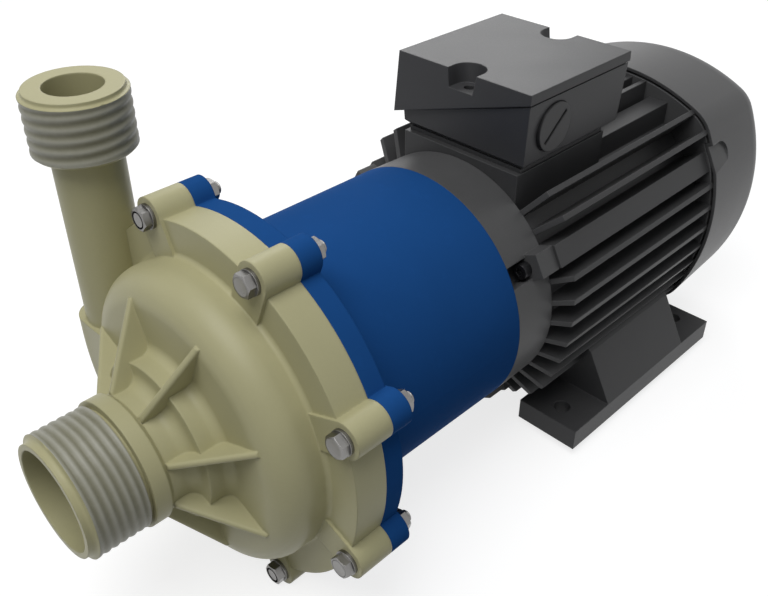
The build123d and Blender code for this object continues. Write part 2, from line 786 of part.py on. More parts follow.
def impeller():
    """Hub plate with curved vanes and the hub that holds the bush."""
    points = [
        (BUSH_R, BUSH_FRONT + 1.0),
        (BUSH_R + 2.0, BUSH_FRONT + 1.0),
        (IMPELLER_NOSE_R, VANE_BACK - 3.0),
        (VANE_INLET_R + 3.0, VANE_BACK),
        (IMPELLER_R, VANE_BACK),
        (IMPELLER_R, VANE_BACK + HUB_PLATE_T * 0.6),
        (JACKET_R, HUB_PLATE_BACK),
        (BUSH_R, HUB_PLATE_BACK),
    ]
    plate = turned(points)
    blade = vane(VANE_FRONT, VANE_BACK + 1.0)
    wheel = fuse(plate, around(blade, steps(VANE_COUNT)))
    return wheel & rod(IMPELLER_R, BUSH_FRONT, HUB_PLATE_BACK)


def impeller_shroud():
    """Front plate of the closed impeller with its eye ring."""
    eye_front = CHAMBER_FRONT - WEAR_RING_L + 2 * END_GAP
    points = [
        (IMPELLER_EYE_R, eye_front),
        (EYE_RING_R, eye_front),
        (EYE_RING_R, SHROUD_FRONT),
        (IMPELLER_R, SHROUD_FRONT + 1.0),
        (IMPELLER_R, VANE_FRONT),
        (IMPELLER_EYE_R + 1.5, VANE_FRONT),
        (IMPELLER_EYE_R, VANE_FRONT - 1.5),
    ]
    return turned(points)


def bearing_bush():
    """Carbon bush that turns on the fixed shaft."""
    return ring(PUMP_SHAFT_R + RUN_GAP, BUSH_R, BUSH_FRONT, BUSH_BACK)


def magnet_pocket():
    """Front and back of the pocket that holds yoke and magnets."""
    return JACKET_FRONT + JACKET_FRONT_T, BUSH_BACK - JACKET_CAP_T


def magnet_jacket():
    """Plastic body round the driven magnets, open at the back."""
    pocket_front, _ = magnet_pocket()
    points = [
        (BUSH_R, HUB_PLATE_BACK),
        (JACKET_SLEEVE_R, HUB_PLATE_BACK),
        (JACKET_SLEEVE_R, JACKET_FRONT),
        (JACKET_R, JACKET_FRONT),
        (JACKET_R, BUSH_BACK),
        (JACKET_R - JACKET_SKIN, BUSH_BACK),
        (JACKET_R - JACKET_SKIN, pocket_front),
        (JACKET_SLEEVE_R, pocket_front),
        (JACKET_SLEEVE_R, BUSH_BACK),
        (BUSH_R, BUSH_BACK),
    ]
    return turned(points)


def inner_yoke():
    """Steel ring under the driven magnets."""
    pocket_front, pocket_back = magnet_pocket()
    return ring(JACKET_SLEEVE_R, JACKET_SLEEVE_R + YOKE_T, pocket_front, pocket_back)


def magnet_segment(inner_r, outer_r, y_front, y_back):
    """One magnet, an arc of a ring at angle 0."""
    section = profile([(inner_r, y_front), (outer_r, y_front), (outer_r, y_back), (inner_r, y_back)])
    return Rot(0, MAGNET_ARC / 2, 0) * revolve(section, Axis((0, 0, 0), (0, -1, 0)), MAGNET_ARC)


def inner_magnets():
    """Driven magnets between yoke and jacket."""
    pocket_front, pocket_back = magnet_pocket()
    piece = magnet_segment(JACKET_SLEEVE_R + YOKE_T, JACKET_R - JACKET_SKIN, pocket_front, pocket_back)
    return around(piece, steps(MAGNET_COUNT))


def magnet_cap():
    """Ring that closes the magnet pocket."""
    _, pocket_back = magnet_pocket()
    return ring(JACKET_SLEEVE_R, JACKET_R - JACKET_SKIN, pocket_back, BUSH_BACK)


# Drive cup on the motor shaft


def keyway(depth_r, y_front, y_back):
    """Slot for the key above the shaft."""
    return block((-KEY_W / 2, KEY_W / 2), (y_front, y_back), (0, depth_r))


def drive_magnet_hub():
    """Cup that carries the driving magnets, with its hub on the motor shaft."""
    magnet_back_r = DRIVE_BORE_R + DRIVE_MAGNET_T
    floor_back = DRIVE_FLOOR_FRONT + DRIVE_FLOOR_T
    points = [
        (magnet_back_r, DRIVE_CUP_FRONT),
        (DRIVE_CUP_R, DRIVE_CUP_FRONT),
        (DRIVE_CUP_R, floor_back),
        (DRIVE_HUB_R, floor_back),
        (DRIVE_HUB_R, -DRIVE_HUB_BACK),
        (SHAFT_R, -DRIVE_HUB_BACK),
        (SHAFT_R, DRIVE_FLOOR_FRONT),
        (magnet_back_r, DRIVE_FLOOR_FRONT),
    ]
    hub = turned(points, [((DRIVE_CUP_R, floor_back), 5.0), ((DRIVE_HUB_R, floor_back), 4.0)])
    key_top = SHAFT_R - KEYWAY_DEPTH + KEY_H
    hub -= keyway(key_top, DRIVE_FLOOR_FRONT - OVER, -DRIVE_HUB_BACK + OVER)
    for angle in (0.0, 180.0):
        hub -= turn(set_screw_hole(), angle)
    return hub


def set_screw_hole():
    """Radial thread of a hub set screw, at angle 0."""
    return Pos((SHAFT_R + DRIVE_HUB_R) / 2 + OVER, set_screw_y(), 0) * Rot(0, 90, 0) \
        * Cylinder(SET_SCREW_R, DRIVE_HUB_R - SHAFT_R + 2)


def set_screw_y():
    """Station of the set screws."""
    return -DRIVE_HUB_BACK - SET_SCREW_INSET


def hub_set_screws():
    """Set screws that press on the shaft."""
    half = SET_SCREW_L / 2
    screw = Cylinder(SET_SCREW_R, SET_SCREW_L)
    screw -= Pos(0, 0, half - SET_SCREW_SOCKET) * extrude(hexagon(M5_KEY), half)
    screw = Pos(SHAFT_R + half, set_screw_y(), 0) * Rot(0, 90, 0) * screw
    flat = rod(SHAFT_R, set_screw_y() - 2 * SET_SCREW_R, set_screw_y() + 2 * SET_SCREW_R)
    return around(screw - flat, (0.0, 180.0))


def drive_magnets():
    """Driving magnets inside the cup."""
    piece = magnet_segment(DRIVE_BORE_R, DRIVE_BORE_R + DRIVE_MAGNET_T,
                           DRIVE_CUP_FRONT, DRIVE_FLOOR_FRONT)
    return around(piece, steps(MAGNET_COUNT))


def shaft_key():
    """Parallel key in the shaft's extension."""
    bottom = SHAFT_R - KEYWAY_DEPTH
    y_back = -DRIVE_HUB_BACK + 2.0
    return block((-KEY_W / 2, KEY_W / 2), (y_back - KEY_L, y_back), (bottom, bottom + KEY_H))


# Motor


def motor_shaft():
    """Stepped shaft from the drive cup to the fan."""
    front_seat_end = FRONT_BEARING_Y + BEARING_W
    rotor_front = STATOR_START - CAGE_RING_T
    rotor_back = STATOR_END + CAGE_RING_T
    fan_end = FAN_Y + FAN_WIDTH + 4.0
    points = [
        (0, -SHAFT_EXTENSION),
        (SHAFT_R - 1.0, -SHAFT_EXTENSION),
        (SHAFT_R, -SHAFT_EXTENSION + 1.0),
        (SHAFT_R, FRONT_BEARING_Y),
        (BEARING_BORE_R, FRONT_BEARING_Y),
        (BEARING_BORE_R, front_seat_end),
        (BEARING_BORE_R + 2.5, front_seat_end),
        (BEARING_BORE_R + 2.5, rotor_front),
        (ROTOR_SEAT_R, rotor_front),
        (ROTOR_SEAT_R, rotor_back),
        (BEARING_BORE_R + 2.5, rotor_back),
        (BEARING_BORE_R + 2.5, REAR_BEARING_Y),
        (BEARING_BORE_R, REAR_BEARING_Y),
        (BEARING_BORE_R, REAR_BEARING_Y + BEARING_W),
        (FAN_SEAT_R, REAR_BEARING_Y + BEARING_W),
        (FAN_SEAT_R, circlip_y()),
        (FAN_SEAT_R - 0.8, circlip_y()),
        (FAN_SEAT_R - 0.8, circlip_y() + CIRCLIP_W),
        (FAN_SEAT_R, circlip_y() + CIRCLIP_W),
        (FAN_SEAT_R, fan_end),
        (0, fan_end),
    ]
    shaft = turned(points)
    bottom = SHAFT_R - KEYWAY_DEPTH
    key_back = -DRIVE_HUB_BACK + 2.0
    shaft -= block((-KEY_W / 2, KEY_W / 2), (key_back - KEY_L, key_back), (bottom, SHAFT_R + OVER))
    return shaft


def circlip_y():
    """Front of the fan's retaining ring."""
    return FAN_Y + FAN_WIDTH - 4.0


def shield_notch():
    """Open slot in front of a shield lug, at angle 0."""
    return block((NOTCH_R, FACE_R + 20), (-1, SHIELD_LUG_FRONT), (-NOTCH_W / 2, NOTCH_W / 2))


def shield_lug():
    """Screw lug of the drive-end shield with sloped sides, at angle 0."""
    half = SHIELD_LUG_W / 2
    section = profile([(HOUSING_BORE_R + 2, -half - 2.0), (SHIELD_LUG_R, -half), (SHIELD_LUG_R, half),
                       (HOUSING_BORE_R + 2, half + 2.0)])
    return slab(section, SHIELD_LUG_FRONT, SHIELD_LENGTH)


def drive_end_shield():
    """Front shield: face, spigot, bearing seat and four screw lugs."""
    spigot_inner = HOUSING_BORE_R - SHIELD_SPIGOT_T
    seat_r = BEARING_R
    bearing_end = FRONT_BEARING_Y + BEARING_W
    points = [
        (SEAL_R - 5.0, -SPIGOT_T),
        (SPIGOT_R, -SPIGOT_T),
        (SPIGOT_R, 0),
        (FACE_R, 0),
        (SHIELD_BACK_R, SHIELD_LENGTH),
        (HOUSING_BORE_R, SHIELD_LENGTH),
        (HOUSING_BORE_R, SHIELD_LENGTH + SHIELD_SPIGOT_L),
        (spigot_inner, SHIELD_LENGTH + SHIELD_SPIGOT_L),
        (spigot_inner, FRONT_BEARING_Y + 2.0),
        (seat_r + 8.0, FRONT_BEARING_Y),
        (seat_r + 8.0, bearing_end),
        (seat_r, bearing_end),
        (seat_r, FRONT_BEARING_Y),
        (SEAL_R, FRONT_BEARING_Y),
        (SEAL_R, FRONT_BEARING_Y - SEAL_W - 1.0),
        (SEAL_R - 5.0, FRONT_BEARING_Y - SEAL_W - 1.0),
    ]
    body = turned(points)
    boss = rod(FACE_BOSS_R, FRONT_BEARING_Y, FACE_BOSS_END, x=FACE_BOLT_R - OVER)
    body = fuse(body, around(boss, steps(FACE_BOLT_COUNT, FACE_BOLT_FIRST)))
    for angle in SCREW_ANGLES:
        body = body + turn(shield_lug(), angle)
    thread = rod(M8_R, -OVER, FACE_THREAD_DEPTH, x=FACE_BOLT_R)
    for angle in steps(FACE_BOLT_COUNT, FACE_BOLT_FIRST):
        body -= turn(thread, angle)
    hole = rod(M5_R + SCREW_CLEARANCE, SHIELD_LUG_FRONT - OVER, SHIELD_LENGTH + OVER,
               x=SHIELD_SCREW_CIRCLE_R)
    for angle in SCREW_ANGLES:
        body -= turn(shield_notch(), angle)
        body -= turn(hole, angle)
    return body


def end_shield_screws():
    """Socket head screws, four in front and four behind."""
    front_grip = HOUSING_FRONT + SHIELD_SCREW_GRIP - SHIELD_LUG_FRONT
    front = socket_screw(M5_R, M5_HEAD_R, M5_HEAD_H, M5_KEY, front_grip)
    front = Pos(SHIELD_SCREW_CIRCLE_R, SHIELD_LUG_FRONT, 0) * Rot(90, 0, 0) * front
    back = socket_screw(M5_R, M5_HEAD_R, M5_HEAD_H, M5_KEY, REAR_SHIELD_T + SHIELD_SCREW_GRIP)
    back = Pos(SHIELD_SCREW_CIRCLE_R, SHIELD_BACK_END, 0) * Rot(-90, 0, 0) * back
    return around(front, SCREW_ANGLES) + around(back, SCREW_ANGLES)


def fin_tip(angle):
    """Distance of a fin's tip from the axis: a square with four bowed sides."""
    folded = abs((angle + 45.0) % 90.0 - 45.0)
    back = FIN_ARC_R - FIN_HALF_WIDTH
    a = radians(folded)
    return sqrt(FIN_ARC_R ** 2 - (back * sin(a)) ** 2) - back * cos(a)


def fin(angle):
    """One radial cooling fin."""
    tip = fin_tip(angle)
    root = HOUSING_CORE_R - 2.0
    web = profile([(root, HOUSING_FRONT), (SHIELD_BACK_R, HOUSING_FRONT),
                   (tip, HOUSING_FRONT + FIN_RISE), (tip, HOUSING_BACK), (root, HOUSING_BACK)])
    return turn(extrude(web, FIN_T / 2, both=True), angle)


def upright_fin(x, top, width):
    """Fin behind the terminal pad that stands parallel to Z."""
    return block((x - width / 2, x + width / 2), (PAD_BACK - OVER, HOUSING_BACK), (0, top))


def pedestal_outline():
    """Section of a foot's pedestal in X and Z, for the right foot."""
    outer = FOOT_SPAN_X / 2 + FOOT_OUTER_MARGIN
    inner = outer - FOOT_PLATE_W
    plate_top = -SHAFT_HEIGHT + FOOT_PLATE_T
    return profile([(inner, plate_top - 1.0), (outer, plate_top - 1.0), (outer, plate_top),
                    (outer - PEDESTAL_LEAN, -PEDESTAL_TOP_DROP), (inner, -PEDESTAL_INNER_DROP)])


def pedestal(x_sign):
    """The pedestal's full prism, before the housing is cut from it."""
    middle = JOINT_TO_FEET
    prism = slab(pedestal_outline(), middle - PEDESTAL_LENGTH / 2, middle + PEDESTAL_LENGTH / 2)
    return prism if x_sign > 0 else mirror(prism, Plane.YZ)


def foot_screw_places(x_sign):
    """Centres of the two screws of one foot."""
    half = FOOT_SCREW_SPAN / 2
    return [(x_sign * FOOT_SCREW_X, JOINT_TO_FEET - half), (x_sign * FOOT_SCREW_X, JOINT_TO_FEET + half)]


def upright_rod(radius, z_low, z_high, x, y):
    """Round bar parallel to Z."""
    return Pos(x, y, (z_low + z_high) / 2) * Cylinder(radius, z_high - z_low)


def cable_opening(z_low, z_high):
    """Opening for the leads between the housing and the terminal box."""
    width, length = CABLE_OPENING
    y_range = (PAD_MIDDLE - length / 2, PAD_MIDDLE + length / 2)
    return block((-width / 2, width / 2), y_range, (z_low, z_high))


def stator_housing():
    """Finned housing with terminal pad, screw bars and foot seats."""
    body = rod(HOUSING_CORE_R, HOUSING_FRONT, HOUSING_BACK)
    for angle in FIN_ANGLES:
        body = body + fin(angle)
        body = body + fin(180.0 - angle)
    for x in TOP_FIN_X:
        body = body + upright_fin(x, TOP_FIN_Z, FIN_T) + upright_fin(-x, TOP_FIN_Z, FIN_T)
    rib_in, rib_out, rib_top = STEP_RIB
    rib_range = (HOUSING_FRONT, HOUSING_BACK)
    behind_pad = (PAD_BACK - OVER, HOUSING_BACK)
    body = body + block((rib_in, rib_out), behind_pad, (0, rib_top))
    body = body + block((-rib_out, -rib_in), behind_pad, (0, rib_top))
    bottom = FIN_HALF_WIDTH - BOTTOM_FIN_DROP
    for k in (-1, 0, 1):
        x = BOTTOM_FIN_STEP * k
        body = body + block((x - FIN_T / 2, x + FIN_T / 2), rib_range, (-bottom, 0))
    bar = block((0, BAR_R), rib_range, (-BAR_W / 2, BAR_W / 2))
    for angle in SCREW_ANGLES:
        body = body + turn(bar, angle)
    body = body - pedestal(1) - pedestal(-1)
    body = body + rod(HOUSING_CORE_R, HOUSING_FRONT, HOUSING_BACK)
    body = body + block((-PAD_HALF_W, PAD_HALF_W), (PAD_FRONT, PAD_BACK), (0, PAD_TOP))
    body -= block((-BOX_HALF_W, BOX_HALF_W), (PAD_FRONT, BOX_BACK + LID_LIP + HAND_GAP), (PAD_TOP, BOX_TOP))
    body -= rod(HOUSING_BORE_R, HOUSING_FRONT - OVER, HOUSING_BACK + OVER)
    body -= cable_opening(0, PAD_TOP + OVER)
    thread = rod(M5_R, HOUSING_FRONT - OVER, HOUSING_FRONT + SHIELD_SCREW_GRIP, x=SHIELD_SCREW_CIRCLE_R)
    back_thread = rod(M5_R, HOUSING_BACK - SHIELD_SCREW_GRIP, HOUSING_BACK + OVER, x=SHIELD_SCREW_CIRCLE_R)
    for angle in SCREW_ANGLES:
        body -= turn(thread, angle)
        body -= turn(back_thread, angle)
    for x_sign in (1, -1):
        for x, y in foot_screw_places(x_sign):
            body -= upright_rod(M8_R, -HOUSING_CORE_R, FOOT_SCREW_TIP, x, y)
    return body


def foot(x_sign):
    """One foot: drilled plate and leaning pedestal, seated on the housing."""
    outer = FOOT_SPAN_X / 2 + FOOT_OUTER_MARGIN
    half_length = FOOT_SPAN_Y / 2 + FOOT_END_MARGIN
    x_range = (outer - FOOT_PLATE_W, outer) if x_sign > 0 else (-outer, FOOT_PLATE_W - outer)
    body = block(x_range, (JOINT_TO_FEET - half_length, JOINT_TO_FEET + half_length),
                 (-SHAFT_HEIGHT, -SHAFT_HEIGHT + FOOT_PLATE_T))
    body = body + pedestal(x_sign)
    body -= rod(HOUSING_CORE_R, HOUSING_FRONT, HOUSING_BACK)
    for y_sign in (1, -1):
        y = JOINT_TO_FEET + y_sign * FOOT_SPAN_Y / 2
        body -= upright_rod(FOOT_HOLE_D / 2, -SHAFT_HEIGHT - OVER, -SHAFT_HEIGHT + FOOT_PLATE_T + OVER,
                            x_sign * FOOT_SPAN_X / 2, y)
    head_seat = -SHAFT_HEIGHT + FOOT_SCREW_SINK + M8_HEAD_H
    for x, y in foot_screw_places(x_sign):
        body -= upright_rod(M8_R + HAND_GAP, -SHAFT_HEIGHT, 0, x, y)
        body -= upright_rod(M8_HEAD_R + HAND_GAP, -SHAFT_HEIGHT - OVER, head_seat, x, y)
    return body


def foot_screws():
    """Socket head screws from under the feet into the housing."""
    head_seat = -SHAFT_HEIGHT + FOOT_SCREW_SINK + M8_HEAD_H
    screw = Rot(180, 0, 0) * socket_screw(M8_R, M8_HEAD_R, M8_HEAD_H, M8_KEY, FOOT_SCREW_TIP - head_seat)
    places = foot_screw_places(1) + foot_screw_places(-1)
    return [Pos(x, y, head_seat) * screw for x, y in places]


def bearing_outer(y_front):
    """Outer ring of a ball bearing with its race."""
    race_r = (BEARING_BORE_R + BEARING_R) / 2
    body = ring(BEARING_R - BEARING_RING_T, BEARING_R, y_front, y_front + BEARING_W)
    return body - ball_race(race_r, y_front)


def bearing_inner(y_front):
    """Inner ring of a ball bearing with its race."""
    race_r = (BEARING_BORE_R + BEARING_R) / 2
    body = ring(BEARING_BORE_R, BEARING_BORE_R + BEARING_RING_T, y_front, y_front + BEARING_W)
    return body - ball_race(race_r, y_front)


def ball_race(race_r, y_front):
    """Groove that the balls run in."""
    return Pos(0, y_front + BEARING_W / 2, 0) * Rot(90, 0, 0) * Torus(race_r, BALL_R + RUN_GAP)


def bearing_balls():
    """Balls of both bearings."""
    race_r = (BEARING_BORE_R + BEARING_R) / 2
    balls = []
    for y_front in (FRONT_BEARING_Y, REAR_BEARING_Y):
        ball = Pos(race_r, y_front + BEARING_W / 2, 0) * Sphere(BALL_R)
        balls += around(ball, steps(BALL_COUNT))
    return balls


def shaft_seal():
    """Lip seal behind the motor's face, clear of the shaft."""
    front = FRONT_BEARING_Y - SEAL_W - 1.0
    return turned([(SHAFT_R + HAND_GAP, front + 2.0), (SEAL_R, front), (SEAL_R, front + SEAL_W),
                   (SEAL_R - 2.5, front + SEAL_W), (SEAL_R - 2.5, front + 3.0),
                   (SHAFT_R + 1.5, front + 4.0), (SHAFT_R + HAND_GAP, front + 4.5)])


def stator_core():
    """Laminated stator pressed into the housing."""
    return ring(STATOR_BORE_R, HOUSING_BORE_R, STATOR_START, STATOR_END)


def windings():
    """Copper end turns on both sides of the stator core."""
    inner, outer = WINDING_R
    turns = []
    for near, far in ((STATOR_START, STATOR_START - WINDING_OUT), (STATOR_END, STATOR_END + WINDING_OUT)):
        turns.append(turned([(inner, near), (outer, near), (outer, far), (inner, far)],
                            [((inner, far), WINDING_EDGE_R), ((outer, far), WINDING_EDGE_R)]))
    return turns


def rotor_core():
    """Laminated rotor on the shaft."""
    return ring(ROTOR_SEAT_R, STATOR_BORE_R - AIR_GAP, STATOR_START, STATOR_END)


def rotor_cage():
    """Aluminium end rings of the rotor with their small vanes."""
    outer = STATOR_BORE_R - AIR_GAP
    vane_end = CAGE_RING_T + CAGE_VANE_H
    rings = []
    for core_end, out in ((STATOR_START, -1), (STATOR_END, 1)):
        body = ring(CAGE_RING_BORE_R, outer, *sorted((core_end, core_end + out * CAGE_RING_T)))
        y_range = sorted((core_end + out * (CAGE_RING_T - OVER), core_end + out * vane_end))
        blade = block((CAGE_RING_BORE_R + OVER, outer - OVER), y_range, (-CAGE_VANE_T / 2, CAGE_VANE_T / 2))
        rings.append(fuse(body, around(blade, steps(CAGE_VANE_COUNT))))
    return rings


def fan_end_shield():
    """Rear shield: plate that closes the fins, bearing seat, screw ears and cowl bosses."""
    seat_end = REAR_BEARING_Y + BEARING_W + WAVE_SPRING_T
    hub_r = BEARING_R + REAR_HUB_WALL
    plate_back = HOUSING_BACK + REAR_PLATE_T
    spigot_r = HOUSING_BORE_R - SHIELD_SPIGOT_T
    points = [
        (BEARING_R, REAR_BEARING_Y - OVER),
        (hub_r, REAR_BEARING_Y - OVER),
        (hub_r, plate_back),
        (spigot_r, plate_back),
        (spigot_r, HOUSING_BACK - SHIELD_SPIGOT_L),
        (HOUSING_BORE_R, HOUSING_BACK - SHIELD_SPIGOT_L),
        (HOUSING_BORE_R, HOUSING_BACK),
        (REAR_SHIELD_R, HOUSING_BACK),
        (REAR_SHIELD_R, SHIELD_BACK_END - REAR_EDGE),
        (REAR_SHIELD_R - REAR_EDGE, SHIELD_BACK_END),
        (hub_r + 2 * REAR_EDGE, SHIELD_BACK_END),
        (hub_r, seat_end + REAR_PLATE_T),
        (FAN_SEAT_R + HUB_HOLE_GAP, seat_end + REAR_PLATE_T),
        (FAN_SEAT_R + HUB_HOLE_GAP, seat_end),
        (BEARING_R, seat_end),
    ]
    body = turned(points)
    plate = slab(cowl_section(COWL_WALL + REAR_PLATE_GAP, 0), HOUSING_BACK, plate_back)
    body = body + (plate - rod(spigot_r + OVER, HOUSING_BACK, plate_back))
    pocket_floor = cowl_flat_r() - COWL_WALL - END_GAP
    pocket_room = rim_pocket(COWL_POCKET_R + COWL_WALL + END_GAP, pocket_floor, FLANGE_R, COWL_RIM - OVER)
    half_w = SHIELD_LUG_W / 2
    ear_y, ear_z = (HOUSING_BACK, SHIELD_BACK_END), (-half_w, half_w)
    ear = block((HOUSING_BORE_R, SHIELD_LUG_R - COWL_PROUD), ear_y, ear_z)
    hole = rod(M5_R + SCREW_CLEARANCE, HOUSING_BACK - OVER, SHIELD_BACK_END + OVER, x=SHIELD_SCREW_CIRCLE_R)
    for angle in SCREW_ANGLES:
        body = body + turn(ear, angle)
        body -= turn(hole, angle)
        body -= turn(pocket_room, angle)
    boss = block((HOUSING_BORE_R, cowl_flat_r() - COWL_WALL), ear_y, ear_z)
    boss -= hole
    for angle in COWL_SCREW_ANGLES:
        body = body + turn(boss, angle)
        body -= turn(cowl_screw_rod(COWL_SCREW_R, cowl_screw_tip(), FLANGE_R), angle)
    return body


def wave_spring():
    """Preload spring behind the rear bearing."""
    front = REAR_BEARING_Y + BEARING_W
    return ring(BEARING_R - 4.5, BEARING_R - 0.5, front, front + WAVE_SPRING_T)


# Fan and cowl


def cooling_fan():
    """Plastic fan: hub, back plate and straight radial blades."""
    hub = ring(FAN_SEAT_R, FAN_HUB_R, FAN_Y, circlip_y())
    plate = ring(FAN_SEAT_R + OVER, FAN_R * 0.8, FAN_Y, FAN_Y + FAN_PLATE_T)
    web = profile([(FAN_HUB_R - 2, FAN_Y), (FAN_R, FAN_Y), (FAN_R, FAN_Y + FAN_WIDTH - 8.0),
                   (FAN_R - 8.0, FAN_Y + FAN_WIDTH), (FAN_HUB_R + 8.0, FAN_Y + FAN_WIDTH - 10.0),
                   (FAN_HUB_R - 2, FAN_Y + FAN_WIDTH - 16.0)])
    blade = extrude(web, FAN_BLADE_T / 2, both=True)
    return fuse(hub + plate, around(blade, steps(FAN_BLADE_COUNT)))


def fan_circlip():
    """Ring in the shaft's groove behind the fan."""
    clip = ring(FAN_SEAT_R - 0.8, FAN_SEAT_R + 2.5, circlip_y(), circlip_y() + CIRCLIP_W)
    return clip - block((-3, 3), (circlip_y() - 1, circlip_y() + 3), (0, FAN_SEAT_R + 4))


def bowed_square(half_width, arc_r, corner_r):
    """Square with four bowed sides and rounded corners, in X and Z."""
    back = arc_r - half_width
    angle = radians(45.0)
    corner = sqrt(arc_r ** 2 - (back * sin(angle)) ** 2) - back * cos(angle)
    p = corner * cos(angle)
    right = ThreePointArc((p, -p), (half_width, 0), (p, p))
    top = ThreePointArc((p, p), (0, half_width), (-p, p))
    left = ThreePointArc((-p, p), (-half_width, 0), (-p, -p))
    bottom = ThreePointArc((-p, -p), (0, -half_width), (p, -p))
    outline = make_face(Curve() + [right, top, left, bottom])
    return fillet(outline.vertices(), corner_r)


def cowl_section(wall, inset):
    """Section of the cowl's form, moved inwards by a wall and by the form's own inset."""
    rim_half = FIN_HALF_WIDTH + COWL_PROUD
    half = rim_half - wall - inset
    return bowed_square(half, FIN_ARC_R - COWL_BOW - wall - inset, COWL_CORNER_R * half / rim_half)


def cowl_form(wall):
    """The cowl as a solid: tapered sides with a round bend to the flat end."""
    end_y = COWL_END - wall
    form = loft([Plane.XZ.offset(-COWL_RIM) * cowl_section(wall, 0),
                 Plane.XZ.offset(-end_y) * cowl_section(wall, COWL_TAPER)], ruled=True)
    return fillet(form.faces().sort_by(Axis.Y)[-1].edges(), COWL_EDGE_R - wall)


def cowl_flat_r():
    """Distance of the flat floors of the pockets in the cowl's rim."""
    return fin_tip(BAR_ANGLE) + COWL_PROUD - COWL_POCKET_DEPTH


def cowl_screw_rod(radius, r_low, r_high):
    """Round bar along the radius at a cowl screw, at angle 0."""
    bar = Cylinder(radius, r_high - r_low)
    return Pos((r_low + r_high) / 2, HOUSING_BACK + COWL_SCREW_BACK, 0) * Rot(0, 90, 0) * bar


def cowl_screw_tip():
    """How far in the cowl screws reach."""
    return cowl_flat_r() - COWL_WALL - COWL_SCREW_GRIP


def rim_pocket(radius, r_low, r_high, y_front):
    """Half-round pocket form at the cowl's rim, open to the front, at angle 0."""
    middle = COWL_RIM + COWL_POCKET_R
    outline = Circle(radius) + Pos((y_front - middle) / 2, 0) * Rectangle(middle - y_front, 2 * radius)
    return Pos(r_low, middle, 0) * extrude(Plane.YZ * outline, r_high - r_low)


def grille_slots():
    """Ring slots of the grille, parted by its spokes."""
    y_range = (COWL_END - COWL_WALL - OVER, COWL_END + OVER)
    spoke = block((0, FLANGE_R), y_range, (-GRILLE_SPOKE_W / 2, GRILLE_SPOKE_W / 2))
    spokes = fuse(spoke, around(spoke, steps(GRILLE_SPOKES)[1:]))
    return [ring(inner_r, outer_r, *y_range) - spokes for inner_r, outer_r in GRILLE_RINGS]


def fan_cowl():
    """Cover over the fan with pockets in its rim and a slotted grille."""
    outer = cowl_form(0.0)
    body = outer - cowl_form(COWL_WALL)
    floor_r = cowl_flat_r()
    bulge = rim_pocket(COWL_POCKET_R + COWL_WALL, floor_r - COWL_WALL, FLANGE_R, COWL_RIM)
    pocket = rim_pocket(COWL_POCKET_R, floor_r, FLANGE_R + OVER, COWL_RIM - OVER)
    for angle in SCREW_ANGLES:
        body = body + (turn(bulge, angle) & outer)
        body -= turn(pocket, angle)
    for angle in COWL_SCREW_ANGLES:
        body -= turn(cowl_screw_rod(COWL_SCREW_R + SCREW_CLEARANCE, cowl_screw_tip(), FLANGE_R), angle)
    for slot in grille_slots():
        body -= slot
    return largest(body)


def cowl_screws():
    """Pan head screws in the lower pockets, through the rim into the rear shield."""
    head = cowl_screw_rod(COWL_SCREW_HEAD_R, cowl_flat_r(), cowl_flat_r() + COWL_SCREW_HEAD_H)
    screw = head + cowl_screw_rod(COWL_SCREW_R, cowl_screw_tip(), cowl_flat_r())
    return around(screw, COWL_SCREW_ANGLES)


# Terminal box


def box_form(left, right, y_range, slope, z_low, z_high):
    """Form with sloped sides and front, given at BOX_TOP; a positive slope widens it downwards."""
    front, back = y_range
    sections = []
    for z in (z_low, z_high):
        out = slope * (BOX_TOP - z)
        x_low, x_high, y_low = left - out, right + out, front - out
        outline = Pos((x_low + x_high) / 2, (y_low + back) / 2) * Rectangle(x_high - x_low, back - y_low)
        sections.append(Plane.XY.offset(z) * outline)
    return loft(sections, ruled=True)


def base_form(inset, z_low, z_high):
    """Outer form of the base moved inwards by inset; it narrows downwards."""
    half_w = BOX_HALF_W - inset
    return box_form(-half_w, half_w, (BOX_FRONT + inset, BOX_BACK - inset), -BASE_DRAFT, z_low, z_high)


def lid_form(inset, z_low, z_high):
    """Outer form of the lid moved inwards by inset; it widens downwards."""
    half_w = BOX_HALF_W - inset
    y_range = (BOX_FRONT + inset, BOX_BACK + LID_LIP - inset)
    return box_form(-half_w, half_w, y_range, LID_FLARE, z_low, z_high)


def parting_plane(shift=0.0):
    """Slanted plane between the box's base and its lid."""
    middle = (PARTING_LOW + PARTING_HIGH) / 2 + shift
    slope = degrees(atan2(PARTING_HIGH - PARTING_LOW, 2 * BOX_HALF_W))
    return Plane.XY.offset(middle).rotated((0, -slope, 0))


def plug_axis(x_low, x_high, radius):
    """Bar along X at the cable entry."""
    return Pos((x_low + x_high) / 2, PLUG_Y, PLUG_Z) * Rot(0, 90, 0) * Cylinder(radius, x_high - x_low)


def terminal_box_base():
    """Lower half of the terminal box with its cable entry and posts."""
    outer = base_form(0.0, BOX_LOW, BOX_TOP)
    outer = chamfer(outer.faces().sort_by(Axis.Z)[0].edges(), BASE_CHAMFER)
    body = outer - base_form(BOX_WALL, BOX_LOW + BOX_FLOOR_T, BOX_TOP)
    for y in lid_screw_ys():
        body = body + (upright_rod(POST_R, BOX_LOW, BOX_TOP, 0, y) & outer)
    body = split(body, parting_plane(), keep=Keep.BOTTOM)
    body -= cable_opening(BOX_LOW - OVER, BOX_LOW + BOX_FLOOR_T + OVER)
    seat = plug_seat_x()
    body = body + plug_axis(seat - PLUG_SEAT_T, seat, PLUG_R + PLUG_SEAT_RIM)
    body -= plug_axis(seat, BOX_HALF_W + OVER, PLUG_R + HAND_GAP)
    body -= plug_axis(seat - PLUG_SEAT_T - OVER, seat + OVER, PLUG_THREAD_R)
    for y in lid_screw_ys():
        body -= upright_rod(M3_R, BOX_LOW + BOX_FLOOR_T, BOX_TOP, 0, y)
    return body


